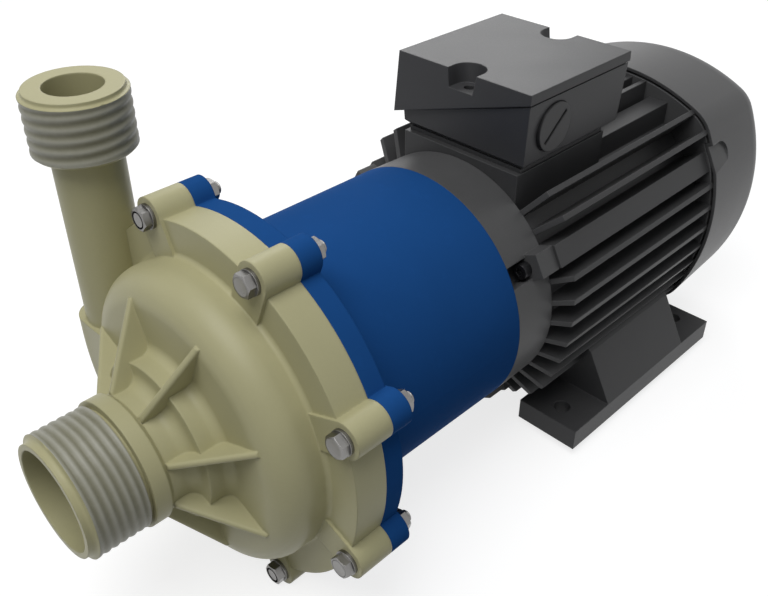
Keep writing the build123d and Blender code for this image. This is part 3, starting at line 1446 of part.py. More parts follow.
def plug_seat_x():
    """Plane that the plug's seal lies on."""
    return BOX_HALF_W - PLUG_SEAT_DEPTH


def lid_screw_ys():
    """Places of the two lid screws, front and back."""
    return (BOX_FRONT + LID_SCREW_INSET, BOX_BACK - LID_SCREW_INSET)


def lid_recess(y_edge, inwards):
    """Tapered recess in the lid's edge, with a round end."""
    half = RECESS_W / 2
    far = y_edge + inwards * (RECESS_L - half)
    past = y_edge - inwards * half
    sections = []
    for z, r in ((RECESS_FLOOR, half - RECESS_DRAFT), (BOX_TOP, half)):
        outline = Pos(0, (far + past) / 2) * Rectangle(2 * r, abs(far - past))
        outline = outline + Pos(0, far) * Circle(r)
        sections.append(Plane.XY.offset(z) * outline)
    return loft(sections, ruled=True)


def terminal_box_lid():
    """Upper half of the terminal box, with two screw recesses."""
    low = PARTING_LOW - BOX_WALL
    outer = lid_form(0.0, low, BOX_TOP)
    body = outer - lid_form(BOX_WALL, low, BOX_TOP - BOX_WALL)
    edges = ((BOX_FRONT, 1), (BOX_BACK + LID_LIP, -1))
    for (y_edge, inwards), screw_y in zip(edges, lid_screw_ys()):
        middle = y_edge + inwards * (RECESS_L - RECESS_W / 2)
        column = upright_rod(RECESS_W / 2 + BOX_WALL, RECESS_FLOOR - BOX_WALL, BOX_TOP, 0, middle)
        column = column + upright_rod(POST_R + OVER, low, BOX_TOP, 0, screw_y)
        body = body + (column & outer)
    body = split(body, parting_plane(LID_GASKET_T), keep=Keep.TOP)
    for y_edge, inwards in edges:
        body -= lid_recess(y_edge, inwards)
    for y in lid_screw_ys():
        body -= upright_rod(M3_R + SCREW_CLEARANCE, low, BOX_TOP, 0, y)
        body -= upright_rod(M3_HEAD_R + SCREW_CLEARANCE, head_low(), BOX_TOP, 0, y)
    return body


def head_low():
    """Underside of the lid screws' heads."""
    return RECESS_FLOOR - LID_SCREW_SINK - M3_HEAD_H


def lid_screws():
    """Small socket head screws sunk in the lid's recesses."""
    screw = socket_screw(M3_R, M3_HEAD_R, M3_HEAD_H, M3_KEY, LID_SCREW_GRIP)
    return [Pos(0, y, head_low()) * screw for y in lid_screw_ys()]


def lid_gasket():
    """Gasket in the slanted joint between base and lid, inside their outer faces."""
    low = PARTING_LOW - BOX_WALL
    frame = base_form(LID_GASKET_INSET, low, BOX_TOP) - base_form(BOX_WALL, low, BOX_TOP)
    frame = split(frame, parting_plane(LID_GASKET_T), keep=Keep.BOTTOM)
    return split(frame, parting_plane(), keep=Keep.TOP)


def box_gasket():
    """Flat gasket between the housing's pad and the box."""
    x_range = (-PAD_HALF_W + OVER, PAD_HALF_W - OVER)
    body = block(x_range, (BOX_FRONT + BASE_CHAMFER + OVER, PAD_BACK - OVER), (PAD_TOP, BOX_LOW))
    return body - cable_opening(PAD_TOP - OVER, BOX_LOW + OVER)


def blanking_plug():
    """Slotted plug in the cable entry."""
    seat = plug_seat_x()
    head_x = seat + PLUG_SEAL_T
    body = plug_axis(head_x, head_x + PLUG_HEAD_T, PLUG_R)
    body = body + plug_axis(seat - PLUG_SHANK_L, head_x, PLUG_THREAD_R)
    length, width, depth = PLUG_SLOT
    slot = Rot(PLUG_SLOT_ANGLE, 0, 0) * Box(2 * depth, length, width)
    return body - Pos(head_x + PLUG_HEAD_T, PLUG_Y, PLUG_Z) * slot


def plug_seal():
    """Flat ring under the plug's head."""
    seat = plug_seat_x()
    hole = plug_axis(seat - OVER, seat + PLUG_SEAL_T + OVER, PLUG_THREAD_R)
    return plug_axis(seat, seat + PLUG_SEAL_T, PLUG_R - HAND_GAP) - hole


def terminal_board():
    """Board with two rows of terminals, beside the cable opening."""
    width, length, thick = BOARD_SIZE
    middle = PAD_MIDDLE + BOARD_SHIFT
    low = BOX_LOW + BOX_FLOOR_T
    return block((-width / 2, width / 2), (middle - length / 2, middle + length / 2), (low, low + thick))


def terminal_studs():
    """Six threaded studs with their nuts."""
    top = BOX_LOW + BOX_FLOOR_T + BOARD_SIZE[2]
    stud = upright_rod(STUD_R, 0, STUD_H, 0, 0) + extrude(hexagon(STUD_NUT_AF), STUD_NUT_H)
    rows = [PAD_MIDDLE + BOARD_SHIFT + side * STUD_PITCH / 2 for side in (-1, 1)]
    return [Pos(k * STUD_PITCH, y, top) * stud for y in rows for k in (-1, 0, 1)]


os.makedirs("parts", exist_ok=True)

# Pump
place(volute_casing(), "volute_casing")
place(casing_wear_ring(), "casing_wear_ring")
place(casing_bolts(), "casing_bolts")
place(casing_back_screws(), "casing_back_screws")
place(casing_washers(), "casing_washers")
place(casing_nuts(), "casing_nuts")
place(casing_o_ring(), "casing_o_ring")
place(lantern(), "lantern")
place(lantern_screws(), "lantern_screws")
place(containment_can(), "containment_can")
place(pump_shaft(), "pump_shaft")
place(front_shaft_support(), "front_shaft_support")
place(thrust_ring(SUPPORT_BACK), "front_thrust_ring")
place(thrust_ring(CAN_BOSS_FRONT - THRUST_RING_T), "rear_thrust_ring")
place(impeller(), "impeller")
place(impeller_shroud(), "impeller_shroud")
place(bearing_bush(), "bearing_bush")
place(magnet_jacket(), "magnet_jacket")
place(inner_yoke(), "inner_yoke")
place(inner_magnets(), "inner_magnets")
place(magnet_cap(), "magnet_cap")

# Drive
place(drive_magnet_hub(), "drive_magnet_hub")
place(drive_magnets(), "drive_magnets")
place(hub_set_screws(), "hub_set_screws")
place(shaft_key(), "shaft_key")
place(motor_shaft(), "motor_shaft")
place(rotor_core(), "rotor_core")
place(rotor_cage(), "rotor_cage")
place([bearing_inner(FRONT_BEARING_Y), bearing_inner(REAR_BEARING_Y)], "bearing_inner_rings")
place(cooling_fan(), "cooling_fan")
place(fan_circlip(), "fan_circlip")

# Motor
place(drive_end_shield(), "drive_end_shield")
place(end_shield_screws(), "end_shield_screws")
place(stator_housing(), "stator_housing")
place(foot(-1), "foot_left")
place(foot(1), "foot_right")
place(foot_screws(), "foot_screws")
place(stator_core(), "stator_core")
place(windings(), "windings")
place([bearing_outer(FRONT_BEARING_Y), bearing_outer(REAR_BEARING_Y)], "bearing_outer_rings")
place(bearing_balls(), "bearing_balls")
place(shaft_seal(), "shaft_seal")
place(fan_end_shield(), "fan_end_shield")
place(wave_spring(), "wave_spring")
place(fan_cowl(), "fan_cowl")
place(cowl_screws(), "cowl_screws")

# Terminal box
place(box_gasket(), "box_gasket")
place(terminal_box_base(), "terminal_box_base")
place(lid_gasket(), "lid_gasket")
place(terminal_box_lid(), "terminal_box_lid")
place(lid_screws(), "lid_screws")
place(blanking_plug(), "blanking_plug")
place(plug_seal(), "plug_seal")
place(terminal_board(), "terminal_board")
place(terminal_studs(), "terminal_studs")
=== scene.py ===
"""Finishes, small parts and studio for a magnetic-drive pump with its foot motor.

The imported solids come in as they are. Their surfaces get their finishes here, and the
threads, bolts and other fine metalwork are made here as meshes that stand for solids.
All lengths are in metres, in the frame of the solids: +Y along the shaft, +Z up.
"""
import json
from math import atan2, ceil, cos, pi, radians, sin, tan
import bmesh
import bpy
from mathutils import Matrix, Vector


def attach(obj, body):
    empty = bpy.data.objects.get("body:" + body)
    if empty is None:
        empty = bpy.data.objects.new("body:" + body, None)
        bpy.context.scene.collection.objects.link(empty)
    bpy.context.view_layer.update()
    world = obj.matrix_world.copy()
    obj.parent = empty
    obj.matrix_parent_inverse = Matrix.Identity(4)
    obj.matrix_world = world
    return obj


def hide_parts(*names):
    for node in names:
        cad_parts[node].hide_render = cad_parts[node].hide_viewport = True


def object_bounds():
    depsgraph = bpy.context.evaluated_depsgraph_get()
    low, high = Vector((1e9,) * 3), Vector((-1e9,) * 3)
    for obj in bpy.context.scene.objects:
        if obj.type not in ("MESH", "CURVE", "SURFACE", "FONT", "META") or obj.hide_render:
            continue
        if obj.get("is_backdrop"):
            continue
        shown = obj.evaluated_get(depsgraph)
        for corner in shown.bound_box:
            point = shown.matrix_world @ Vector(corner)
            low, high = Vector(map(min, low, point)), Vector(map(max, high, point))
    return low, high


bl_info = {
    "name": "Magnetic drive pump",
    "version": (1, 0, 0),
    "blender": (4, 5, 0),
    "location": "View3D > Sidebar > Pump",
    "description": "Finishes, fine metalwork and studio for a plastic pump with its foot motor",
    "category": "Object",
}

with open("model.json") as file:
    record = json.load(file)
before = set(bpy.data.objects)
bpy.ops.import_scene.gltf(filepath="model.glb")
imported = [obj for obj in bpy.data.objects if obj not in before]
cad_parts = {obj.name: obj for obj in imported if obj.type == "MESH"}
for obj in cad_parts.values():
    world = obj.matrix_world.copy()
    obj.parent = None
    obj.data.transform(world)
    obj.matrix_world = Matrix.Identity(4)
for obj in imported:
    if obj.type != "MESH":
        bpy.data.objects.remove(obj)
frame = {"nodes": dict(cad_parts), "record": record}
NODES = frame["nodes"]
MOUNTS = {mount["name"]: mount for mount in frame["record"]["mounts"]}
SLOT_OF = {part["node"]: part["material_slot"] for part in frame["record"]["subparts"]}
BODY_OF = {node: body
           for body, nodes in frame["record"]["behaviour"]["bodies"].items() for node in nodes}
AXIS_Z = MOUNTS["suction_port"]["pos_m"][2]
MM = 0.001

# Bolts of the casing flange
LUG_PITCH = radians(45.0)
LUG_FIRST = radians(22.5)
BOLT_TURN = 0.7                  # radians that each bolt is turned on from the one before
NUT_TURN = 1.3
BOLT_THREAD_LENGTH = 14 * MM
BOLT_THREAD_DEPTH = 0.45 * MM
BOLT_END_CHAMFER = 0.5 * MM
HEAD_DISH_DEPTH = 0.12 * MM
HEAD_DISH_SHARE = 0.30           # shares of the width across flats
HEAD_RING_SHARE = 0.42
HEX_FACE_SHARE = 0.95
HEX_CHAMFER = radians(30.0)
NUT_SLACK = 0.02 * MM
FASTENER_STEPS = 48              # points round a bolt or nut

# Threads of the two ports
PORT_RUN_OUT = 0.4               # share of a ridge in which the thread fades out
PORT_STEPS = 96
PORT_ROWS_PER_TURN = 12
BAND_SLACK = 0.02 * MM           # how far a point of the plain band may lie off its radius
BAND_MARGIN = 2 * MM             # how far the band may reach past the mount's length

# Meshes
SHARP_ANGLE = radians(35.0)      # edges that turn more than this stay sharp
WELD = 0.001 * MM                # points nearer than this become one

# Edges and marks in the finishes
BEVEL_SAMPLES = 4
EDGE_GAIN = 4.0
PLAIN_STRETCH = (1.0, 1.0, 1.0)
TURNING_STRETCH = (1.0, 14.0, 1.0)

# Colours of the pieces that are small or out of sight
PALE_PLASTIC = (0.50, 0.49, 0.40, 1.0)
FAN_PLASTIC = (0.030, 0.030, 0.032, 1.0)
PLUG_PLASTIC = (0.022, 0.022, 0.023, 1.0)
BOARD_RESIN = (0.16, 0.045, 0.02, 1.0)
BLACK_STEEL = (0.035, 0.035, 0.038, 1.0)
GROUND_STEEL = (0.62, 0.61, 0.60, 1.0)
SHEET_STEEL = (0.30, 0.30, 0.31, 1.0)
MAGNET_GREY = (0.10, 0.10, 0.11, 1.0)
CAST_ALLOY = (0.55, 0.56, 0.57, 1.0)
BRASS = (0.62, 0.45, 0.18, 1.0)
COPPER = (0.60, 0.22, 0.08, 1.0)
CERAMIC = (0.80, 0.78, 0.72, 1.0)
CARBON = (0.035, 0.035, 0.037, 1.0)
RUBBER = (0.016, 0.016, 0.017, 1.0)

# Studio
WHITE = (1.0, 1.0, 1.0, 1.0)
SKY_COLOUR = (0.93, 0.96, 1.0, 1.0)
FLOOR_RADIUS = 3.0
FLOOR_STEPS = 96
FLOOR_GLOW = 0.78
FLOOR_CLOUD = 1.03               # how much lighter the floor's pale clouds are
FRONT_LAMP_SIZE = 0.9
FRONT_LAMP_PLACE = Vector((0.13, -0.52, 1.18))   # from the object's middle
BACK_LAMP_SIZE = 0.68
BACK_LAMP_PLACE = Vector((-0.75, 0.75, 0.75))
VIEW_DIRECTION = Vector((-1.0, 1.0, -1.0))
SENSOR_WIDTH = 36.0
NEAREST_SEEN = 0.01
FURTHEST_SEEN = 20.0


# Materials: sums on sockets, and one method for every other node


class Value:
    """A number in a tree of nodes. Sums written on it add Math nodes."""

    def __init__(self, nodes, socket):
        self.nodes = nodes
        self.socket = socket

    def __add__(self, other):
        return self.nodes.maths("ADD", self, other)

    def __radd__(self, other):
        return self.nodes.maths("ADD", other, self)

    def __sub__(self, other):
        return self.nodes.maths("SUBTRACT", self, other)

    def __rsub__(self, other):
        return self.nodes.maths("SUBTRACT", other, self)

    def __mul__(self, other):
        return self.nodes.maths("MULTIPLY", self, other)

    def __rmul__(self, other):
        return self.nodes.maths("MULTIPLY", other, self)

    def __truediv__(self, other):
        return self.nodes.maths("DIVIDE", self, other)

    def __pow__(self, other):
        return self.nodes.maths("POWER", self, other)

    def clamped(self):
        """The number held between 0 and 1."""
        return self.nodes.maths("ADD", self, 0.0, clamp=True)


class Nodes:
    """The nodes of a material or a world in the making."""

    def __init__(self, owner):
        owner.use_nodes = True
        self.tree = owner.node_tree
        self.tree.nodes.clear()

    def node(self, kind, settings=None, sockets=None):
        """Add a node: its settings first, then the values or links of its sockets."""
        made = self.tree.nodes.new(kind)
        for key, value in (settings or {}).items():
            setattr(made, key, value)
        for key, value in (sockets or {}).items():
            if isinstance(value, Value):
                value = value.socket
            if isinstance(value, bpy.types.NodeSocket):
                self.tree.links.new(value, made.inputs[key])
            else:
                made.inputs[key].default_value = value
        return made

    def maths(self, operation, *values, clamp=False):
        """One Math node on numbers."""
        made = self.node("ShaderNodeMath", {"operation": operation, "use_clamp": clamp},
                         dict(enumerate(values)))
        return Value(self, made.outputs[0])

    def in_view(self):
        """1 for what the camera, a reflection or glass shows, and 0 for light on the object."""
        rays = self.node("ShaderNodeLightPath").outputs
        seen = self.maths("MAXIMUM", rays["Is Camera Ray"], rays["Is Glossy Ray"])
        return self.maths("MAXIMUM", seen, rays["Is Transmission Ray"])


class Finish(Nodes):
    """A material in the making. Its grain sits still on the piece."""

    def __init__(self, name):
        self.material = bpy.data.materials.new(name)
        super().__init__(self.material)
        self.place = self.node("ShaderNodeTexCoord").outputs["Object"]

    def mix(self, factor, first, second):
        """Two colours mixed by a factor."""
        made = self.node("ShaderNodeMix",
                         {"data_type": "RGBA", "blend_type": "MIX", "clamp_factor": True},
                         {0: factor, 6: first, 7: second})
        return made.outputs[2]

    def vectors(self, operation, first, second, output=0):
        """One Vector Math node."""
        return self.node("ShaderNodeVectorMath", {"operation": operation},
                         {0: first, 1: second}).outputs[output]

    def noise(self, grain, detail=2.0, rough=0.5, stretch=PLAIN_STRETCH, warp=0.0):
        """Noise whose grain is a length, from 0 to 1."""
        place = self.place
        if stretch != PLAIN_STRETCH:
            place = self.vectors("MULTIPLY", self.place, stretch)
        made = self.node("ShaderNodeTexNoise", None,
                         {"Vector": place, "Scale": 1.0 / grain, "Detail": detail,
                          "Roughness": rough, "Distortion": warp})
        return Value(self, made.outputs[0])

    def rounded(self, radius):
        """Normal with the edges rounded off, and a mask of how near an edge is."""
        bevel = self.node("ShaderNodeBevel", {"samples": BEVEL_SAMPLES}, {"Radius": radius})
        normal = bevel.outputs[0]
        flat = self.node("ShaderNodeNewGeometry").outputs["Normal"]
        match = Value(self, self.vectors("DOT_PRODUCT", normal, flat, "Value"))
        return normal, ((1.0 - match) * EDGE_GAIN).clamped()

    def bump(self, height, normal, depth, strength):
        """Normal with a height in it; depth is how deep a height of 1 is."""
        return self.node("ShaderNodeBump", None,
                         {"Strength": strength, "Distance": depth, "Height": height,
                          "Normal": normal}).outputs[0]

    def surface(self, sockets):
        """Close the material with its shader."""
        shader = self.node("ShaderNodeBsdfPrincipled", None, sockets)
        self.node("ShaderNodeOutputMaterial", None, {"Surface": shader.outputs[0]})
        return self.material


def rgba(colour):
    """A colour property as the four numbers that a socket takes."""
    return (colour[0], colour[1], colour[2], 1.0)


def shade(colour, factor):
    """A colour made lighter or darker."""
    return (colour[0] * factor, colour[1] * factor, colour[2] * factor, 1.0)


def moulded_plastic(name, colour, gloss=0.42):
    """Moulded plastic: faint flow marks, a fine grain and edges rubbed lighter."""
    finish = Finish(name)
    normal, edge = finish.rounded(radius=1.1 * MM)
    flow = finish.noise(grain=45 * MM, detail=3.0, warp=0.8)
    speck = finish.noise(grain=1.6 * MM, detail=3.0, rough=0.6)
    base = finish.mix(flow, shade(colour, 0.93), shade(colour, 1.05))
    base = finish.mix(speck * 0.25, base, shade(colour, 0.80))
    base = finish.mix(edge * 0.35, base, shade(colour, 1.22))
    skin = finish.noise(grain=0.5 * MM, detail=2.0)
    normal = finish.bump(skin * 0.6 + flow * 0.4, normal, depth=0.05 * MM, strength=0.35)
    rough = gloss + (skin - 0.5) * 0.10 + (flow - 0.5) * 0.08
    return finish.surface({"Base Color": base, "Roughness": rough, "Normal": normal,
                           "Specular IOR Level": 0.28})


def ridged_plastic(name, crest_tone_and_highlight, groove_tone_and_shade, mount, depth):
    """Plastic of a port's thread: grey crests with a painted highlight, over grooves in the casing's
    tone darkened with painted shade.
    """
    finish = Finish(name)
    normal, edge = finish.rounded(radius=0.5 * MM)
    away = finish.vectors("SUBTRACT", finish.place, mount["pos_m"])
    across = finish.vectors("CROSS_PRODUCT", away, mount["axis"])
    radius = Value(finish, finish.vectors("LENGTH", across, (0.0, 0.0, 0.0), "Value"))
    groove_shade_depth = ((mount["dims"]["r_mm"] * MM - radius) / depth).clamped()
    rub = finish.noise(grain=2.5 * MM, detail=4.0, rough=0.6)
    # Crests and grooves in two colours: a painted highlight on the crests and painted shade down in
    # the grooves, over the thread's grey and the casing's tone.
    base = finish.mix(groove_shade_depth + (rub - 0.5) * 0.4, crest_tone_and_highlight, groove_tone_and_shade)
    base = finish.mix(edge * 0.2, base, shade(crest_tone_and_highlight, 1.15))
    normal = finish.bump(rub, normal, depth=0.04 * MM, strength=0.4)
    return finish.surface({"Base Color": base, "Roughness": 0.36 + rub * 0.14, "Normal": normal,
                           "Specular IOR Level": 0.32})


def enamel(name, colour):
    """Enamel paint: orange peel, small pits and edges where it runs thin."""
    finish = Finish(name)
    normal, edge = finish.rounded(radius=0.9 * MM)
    peel = finish.noise(grain=2.2 * MM, detail=1.0)
    fade = finish.noise(grain=60 * MM, detail=3.0, warp=0.6)
    dust = finish.noise(grain=7 * MM, detail=6.0, rough=0.65)
    base = finish.mix(fade, shade(colour, 0.92), shade(colour, 1.08))
    base = finish.mix((dust - 0.55) * 1.2, base, shade(colour, 1.25))
    base = finish.mix(edge * 0.30, base, shade(colour, 1.7))
    normal = finish.bump(peel, normal, depth=0.06 * MM, strength=0.30)
    return finish.surface({"Base Color": base, "Roughness": 0.55 + (dust - 0.5) * 0.16,
                           "Normal": normal, "Specular IOR Level": 0.004})


def painted_casting(name, colour, grain=0.9 * MM, depth=0.06 * MM, shine=0.22):
    """Paint over die-cast metal: cast grain under the coat and rubbed edges."""
    finish = Finish(name)
    normal, edge = finish.rounded(radius=0.8 * MM)
    cast = finish.noise(grain, detail=3.0, rough=0.6)
    fade = finish.noise(grain=38 * MM, detail=4.0, warp=0.5)
    base = finish.mix(fade, shade(colour, 0.85), shade(colour, 1.15))
    base = finish.mix((cast - 0.5) * 0.7, base, shade(colour, 1.6))
    base = finish.mix(edge * 0.40, base, shade(colour, 2.6))
    normal = finish.bump(cast, normal, depth, strength=0.35)
    rough = 0.42 + (cast - 0.5) * 0.18 + (fade - 0.5) * 0.10
    return finish.surface({"Base Color": base, "Roughness": rough, "Normal": normal,
                           "Specular IOR Level": shine})


def worked_steel(name, colour, gloss=0.32, metallic=1.0):
    """Turned or rolled metal with fine marks and a few dull spots."""
    finish = Finish(name)
    normal, edge = finish.rounded(radius=0.35 * MM)
    marks = finish.noise(grain=0.8 * MM, detail=4.0, rough=0.7, stretch=TURNING_STRETCH)
    dull = finish.noise(grain=5 * MM, detail=4.0, rough=0.6)
    base = finish.mix(dull, shade(colour, 0.80), shade(colour, 1.12))
    base = finish.mix(edge * 0.5, base, shade(colour, 1.35))
    normal = finish.bump(marks, normal, depth=0.02 * MM, strength=0.4)
    rough = gloss + (marks - 0.5) * 0.14 + (dull - 0.5) * 0.22
    return finish.surface({"Base Color": base, "Roughness": rough, "Metallic": metallic,
                           "Normal": normal})


def laminated(name, colour):
    """Stack of thin sheets along the shaft."""
    finish = Finish(name)
    normal, edge = finish.rounded(radius=0.3 * MM)
    along = Value(finish, finish.node("ShaderNodeSeparateXYZ", None, {0: finish.place}).outputs[1])
    sheet = finish.maths("PINGPONG", along * (1.0 / MM), 0.5) * 2.0
    dull = finish.noise(grain=9 * MM, detail=4.0)
    base = finish.mix(sheet * 0.5 + dull * 0.4, shade(colour, 0.7), shade(colour, 1.2))
    base = finish.mix(edge * 0.4, base, shade(colour, 1.5))
    normal = finish.bump(sheet, normal, depth=0.12 * MM, strength=0.6)
    return finish.surface({"Base Color": base, "Roughness": 0.38 + dull * 0.2, "Metallic": 0.9,
                           "Normal": normal})


def fired_ceramic(name, colour):
    """Ground ceramic: pale, close grain, faintly glossy."""
    finish = Finish(name)
    normal, edge = finish.rounded(radius=0.4 * MM)
    grain = finish.noise(grain=0.4 * MM, detail=3.0)
    cloud = finish.noise(grain=12 * MM, detail=3.0)
    base = finish.mix(cloud, shade(colour, 0.94), shade(colour, 1.03))
    base = finish.mix(edge * 0.3, base, shade(colour, 1.08))
    normal = finish.bump(grain, normal, depth=0.02 * MM, strength=0.3)
    return finish.surface({"Base Color": base, "Roughness": 0.22 + grain * 0.15,
                           "Normal": normal})


def rubber(name, colour):
    """Soft black rubber with a powdery bloom."""
    finish = Finish(name)
    normal, edge = finish.rounded(radius=0.4 * MM)
    bloom = finish.noise(grain=4 * MM, detail=5.0, rough=0.65)
    base = finish.mix(bloom * 0.5 + edge * 0.3, shade(colour, 0.8), shade(colour, 2.2))
    normal = finish.bump(bloom, normal, depth=0.05 * MM, strength=0.4)
    return finish.surface({"Base Color": base, "Roughness": 0.62 + bloom * 0.2, "Normal": normal})


def enamelled_wire(name, colour):
    """Varnished copper turns wound round the shaft."""
    finish = Finish(name)
    normal, edge = finish.rounded(radius=0.4 * MM)
    split = finish.node("ShaderNodeSeparateXYZ", None, {0: finish.place}).outputs
    x, y, z = (Value(finish, output) for output in split[:3])
    rise = z - AXIS_Z
    radius = (x * x + rise * rise) ** 0.5
    wander = finish.noise(grain=14 * MM, detail=2.0) * 3.0
    strand = finish.maths("PINGPONG", (radius + y * 0.8) * (1.0 / MM) + wander, 0.5) * 2.0
    base = finish.mix(strand, shade(colour, 0.45), shade(colour, 1.15))
    normal = finish.bump(strand, normal, depth=0.5 * MM, strength=0.7)
    return finish.surface({"Base Color": base, "Roughness": 0.30 + strand * 0.1, "Metallic": 0.85,
                           "Normal": normal, "Coat Weight": 0.5, "Coat Roughness": 0.15})


# Small mesh tools


def new_piece(name, mesh, body, materials):
    """Put a mesh in the scene as a piece that rides on a body."""
    piece = bpy.data.objects.new(name, mesh)
    bpy.context.scene.collection.objects.link(piece)
    for material in materials:
        mesh.materials.append(material)
    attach(piece, body)
    return piece


def smooth_mesh(name, bm):
    """Turn a bmesh into a mesh, smooth but for its sharp edges."""
    bmesh.ops.recalc_face_normals(bm, faces=bm.faces)
    for face in bm.faces:
        face.smooth = True
    for edge in bm.edges:
        edge.smooth = not edge.is_manifold or edge.calc_face_angle() < SHARP_ANGLE
    mesh = bpy.data.meshes.new(name)
    bm.to_mesh(mesh)
    bm.free()
    return mesh


def add_rows(bm, rows, material=0):
    """Skin between rows of points; each row closes on itself."""
    made = [[bm.verts.new(point) for point in row] for row in rows]
    for near, far in zip(made, made[1:]):
        for k in range(len(near)):
            n = (k + 1) % len(near)
            bm.faces.new((near[k], near[n], far[n], far[k])).material_index = material
    return made


def round_angles(steps):
    """Evenly spaced angles of one turn."""
    return [2 * pi * k / steps for k in range(steps)]


def circle_row(radius, z):
    """A round row of points."""
    return [Vector((radius * cos(angle), radius * sin(angle), z))
            for angle in round_angles(FASTENER_STEPS)]


def hex_radius(angle, across_flats):
    """Distance of a hexagon's side from its middle, at an angle."""
    folded = (angle + pi / 6) % (pi / 3) - pi / 6
    return across_flats / 2 / cos(folded)


def hexagon_rows(across_flats, low, high, turn, chamfer_high):
    """Rows of a hexagon head or nut along Z. Its corners are turned down at the low end."""
    inner = across_flats / 2 * HEX_FACE_SHARE
    bottom, side_low, side_high, top = [], [], [], []
    for angle in round_angles(FASTENER_STEPS):
        reach = hex_radius(angle, across_flats)
        x, y = cos(angle + turn), sin(angle + turn)
        over = (reach - inner) * tan(HEX_CHAMFER)
        bottom.append(Vector((inner * x, inner * y, low)))
        side_low.append(Vector((reach * x, reach * y, low + over)))
        side_high.append(Vector((reach * x, reach * y, high - (over if chamfer_high else 0.0))))
        top.append(Vector((inner * x, inner * y, high)))
    return [bottom, side_low, side_high, top]


def thread_rows(radius, low, high, pitch, depth, run_out=1.0, steps=FASTENER_STEPS, per_turn=6):
    """Rows of a threaded shank along Z, flush at both ends; run_out is a share of the pitch."""
    count = max(2, int(ceil((high - low) / pitch * per_turn)))
    rows = []
    for k in range(count + 1):
        z = low + (high - low) * k / count
        fade = max(0.0, min(1.0, (z - low) / (pitch * run_out), (high - z) / (pitch * run_out)))
        row = []
        for angle in round_angles(steps):
            wave = 0.5 + 0.5 * cos(2 * pi * (z - low) / pitch - angle)
            r = radius - depth * wave * fade
            row.append(Vector((r * cos(angle), r * sin(angle), z)))
        rows.append(row)
    return rows


def to_axis(rows, centre, forward):
    """Turn rows drawn along Z to run along the shaft, from a centre. Forward is +1 or -1."""
    return [[Vector((centre.x + p.x * forward, centre.y + p.z * forward, centre.z + p.y))
             for p in row] for row in rows]


def lug_boxes(node):
    """The lowest and highest corner of a node's vertices at each bolt place, by place number."""
    found = {}
    for vertex in NODES[node].data.vertices:
        place = round((atan2(vertex.co.z - AXIS_Z, vertex.co.x) - LUG_FIRST) / LUG_PITCH)
        low, high = found.get(place, (vertex.co.copy(), vertex.co.copy()))
        found[place] = (Vector(map(min, low, vertex.co)), Vector(map(max, high, vertex.co)))
    return found


# What a user would change


def colour_property(name, description, default):
    """A colour that a user may pick."""
    return bpy.props.FloatVectorProperty(name=name, description=description, subtype="COLOR",
                                         size=3, min=0.0, max=1.0, default=default)


def length_property(name, description, default):
    """A length that a user may set."""
    return bpy.props.FloatProperty(name=name, description=description, default=default,
                                   unit="LENGTH", subtype="DISTANCE", precision=5)


class PumpColours(bpy.types.PropertyGroup):
    """Colours of the pump and motor."""

    casing: colour_property("Casing", "Moulded casing of the pump", (0.420, 0.397, 0.228))
    # Thread crest colour holds a painted highlight, and thread groove colour holds painted shade,
    # over the grey thread and the casing tone.
    crest_tone_and_highlight: colour_property("Thread crests", "Rubbed crests of both ports' threads",
                           (0.330, 0.324, 0.268))
    groove_tone_and_shade: colour_property("Thread grooves", "Grooves of both ports' threads",
                            (0.190, 0.184, 0.128))
    lantern: colour_property("Lantern", "Enamel of the adapter between pump and motor",
                             (0.012, 0.068, 0.230))
    motor: colour_property("Motor", "Paint of the motor's castings", (0.044, 0.044, 0.045))
    # A lighter copy of the motor's paint: painted light, for the light that falls on the end
    # shields.
    shield: colour_property("End shields", "Paint of the motor's end shields",
                            (0.070, 0.070, 0.071))
    box: colour_property("Terminal box", "Paint of the terminal box", (0.044, 0.044, 0.046))
    cowl: colour_property("Fan cowl", "Paint of the fan cowl", (0.053, 0.053, 0.054))
    steel: colour_property("Bolts", "Zinc plated bolts and nuts", (0.225, 0.220, 0.214))


class PumpThreads(bpy.types.PropertyGroup):
    """Sizes of the threads and bolts."""

    suction_turns: bpy.props.IntProperty(name="Suction turns", default=6, min=1,
                                         description="Ridges of the suction port")
    discharge_turns: bpy.props.IntProperty(name="Discharge turns", default=5, min=1,
                                           description="Ridges of the discharge port")
    port_depth: length_property("Port depth", "Depth of the grooves of both ports", 0.6 * MM)
    bolt_af: length_property("Bolt width", "Width of the bolt heads across their flats", 10 * MM)
    bolt_head: length_property("Bolt head", "Height of the bolt heads", 4 * MM)
    bolt_pitch: length_property("Bolt pitch", "Pitch of the bolt threads", 1.0 * MM)
    bolt_radius: length_property("Bolt radius", "Half the diameter of the bolts", 3 * MM)


class PumpStudio(bpy.types.PropertyGroup):
    """Camera and light."""

    lens: bpy.props.FloatProperty(name="Lens", default=42.33,
                                  description="Focal length of the camera in millimetres")
    eye: bpy.props.FloatVectorProperty(name="Eye", description="Place of the camera", size=3,
                                       subtype="TRANSLATION", unit="LENGTH",
                                       default=(0.27814, -0.41972, 0.37468))
    front: bpy.props.FloatProperty(name="Front lamp", default=12.0, unit="POWER",
                                   description="Power of the lamp above the pump")
    back: bpy.props.FloatProperty(
        name="Back lamp", default=4.9, unit="POWER",
        description="Power of the lamp behind that shines on the top faces")
    sky: bpy.props.FloatProperty(name="Sky", default=0.22,
                                 description="Strength of the light from all round")
    floor: bpy.props.FloatProperty(name="Floor", default=0.35,
                                   description="How pale the floor is under the lamps")


# Pieces


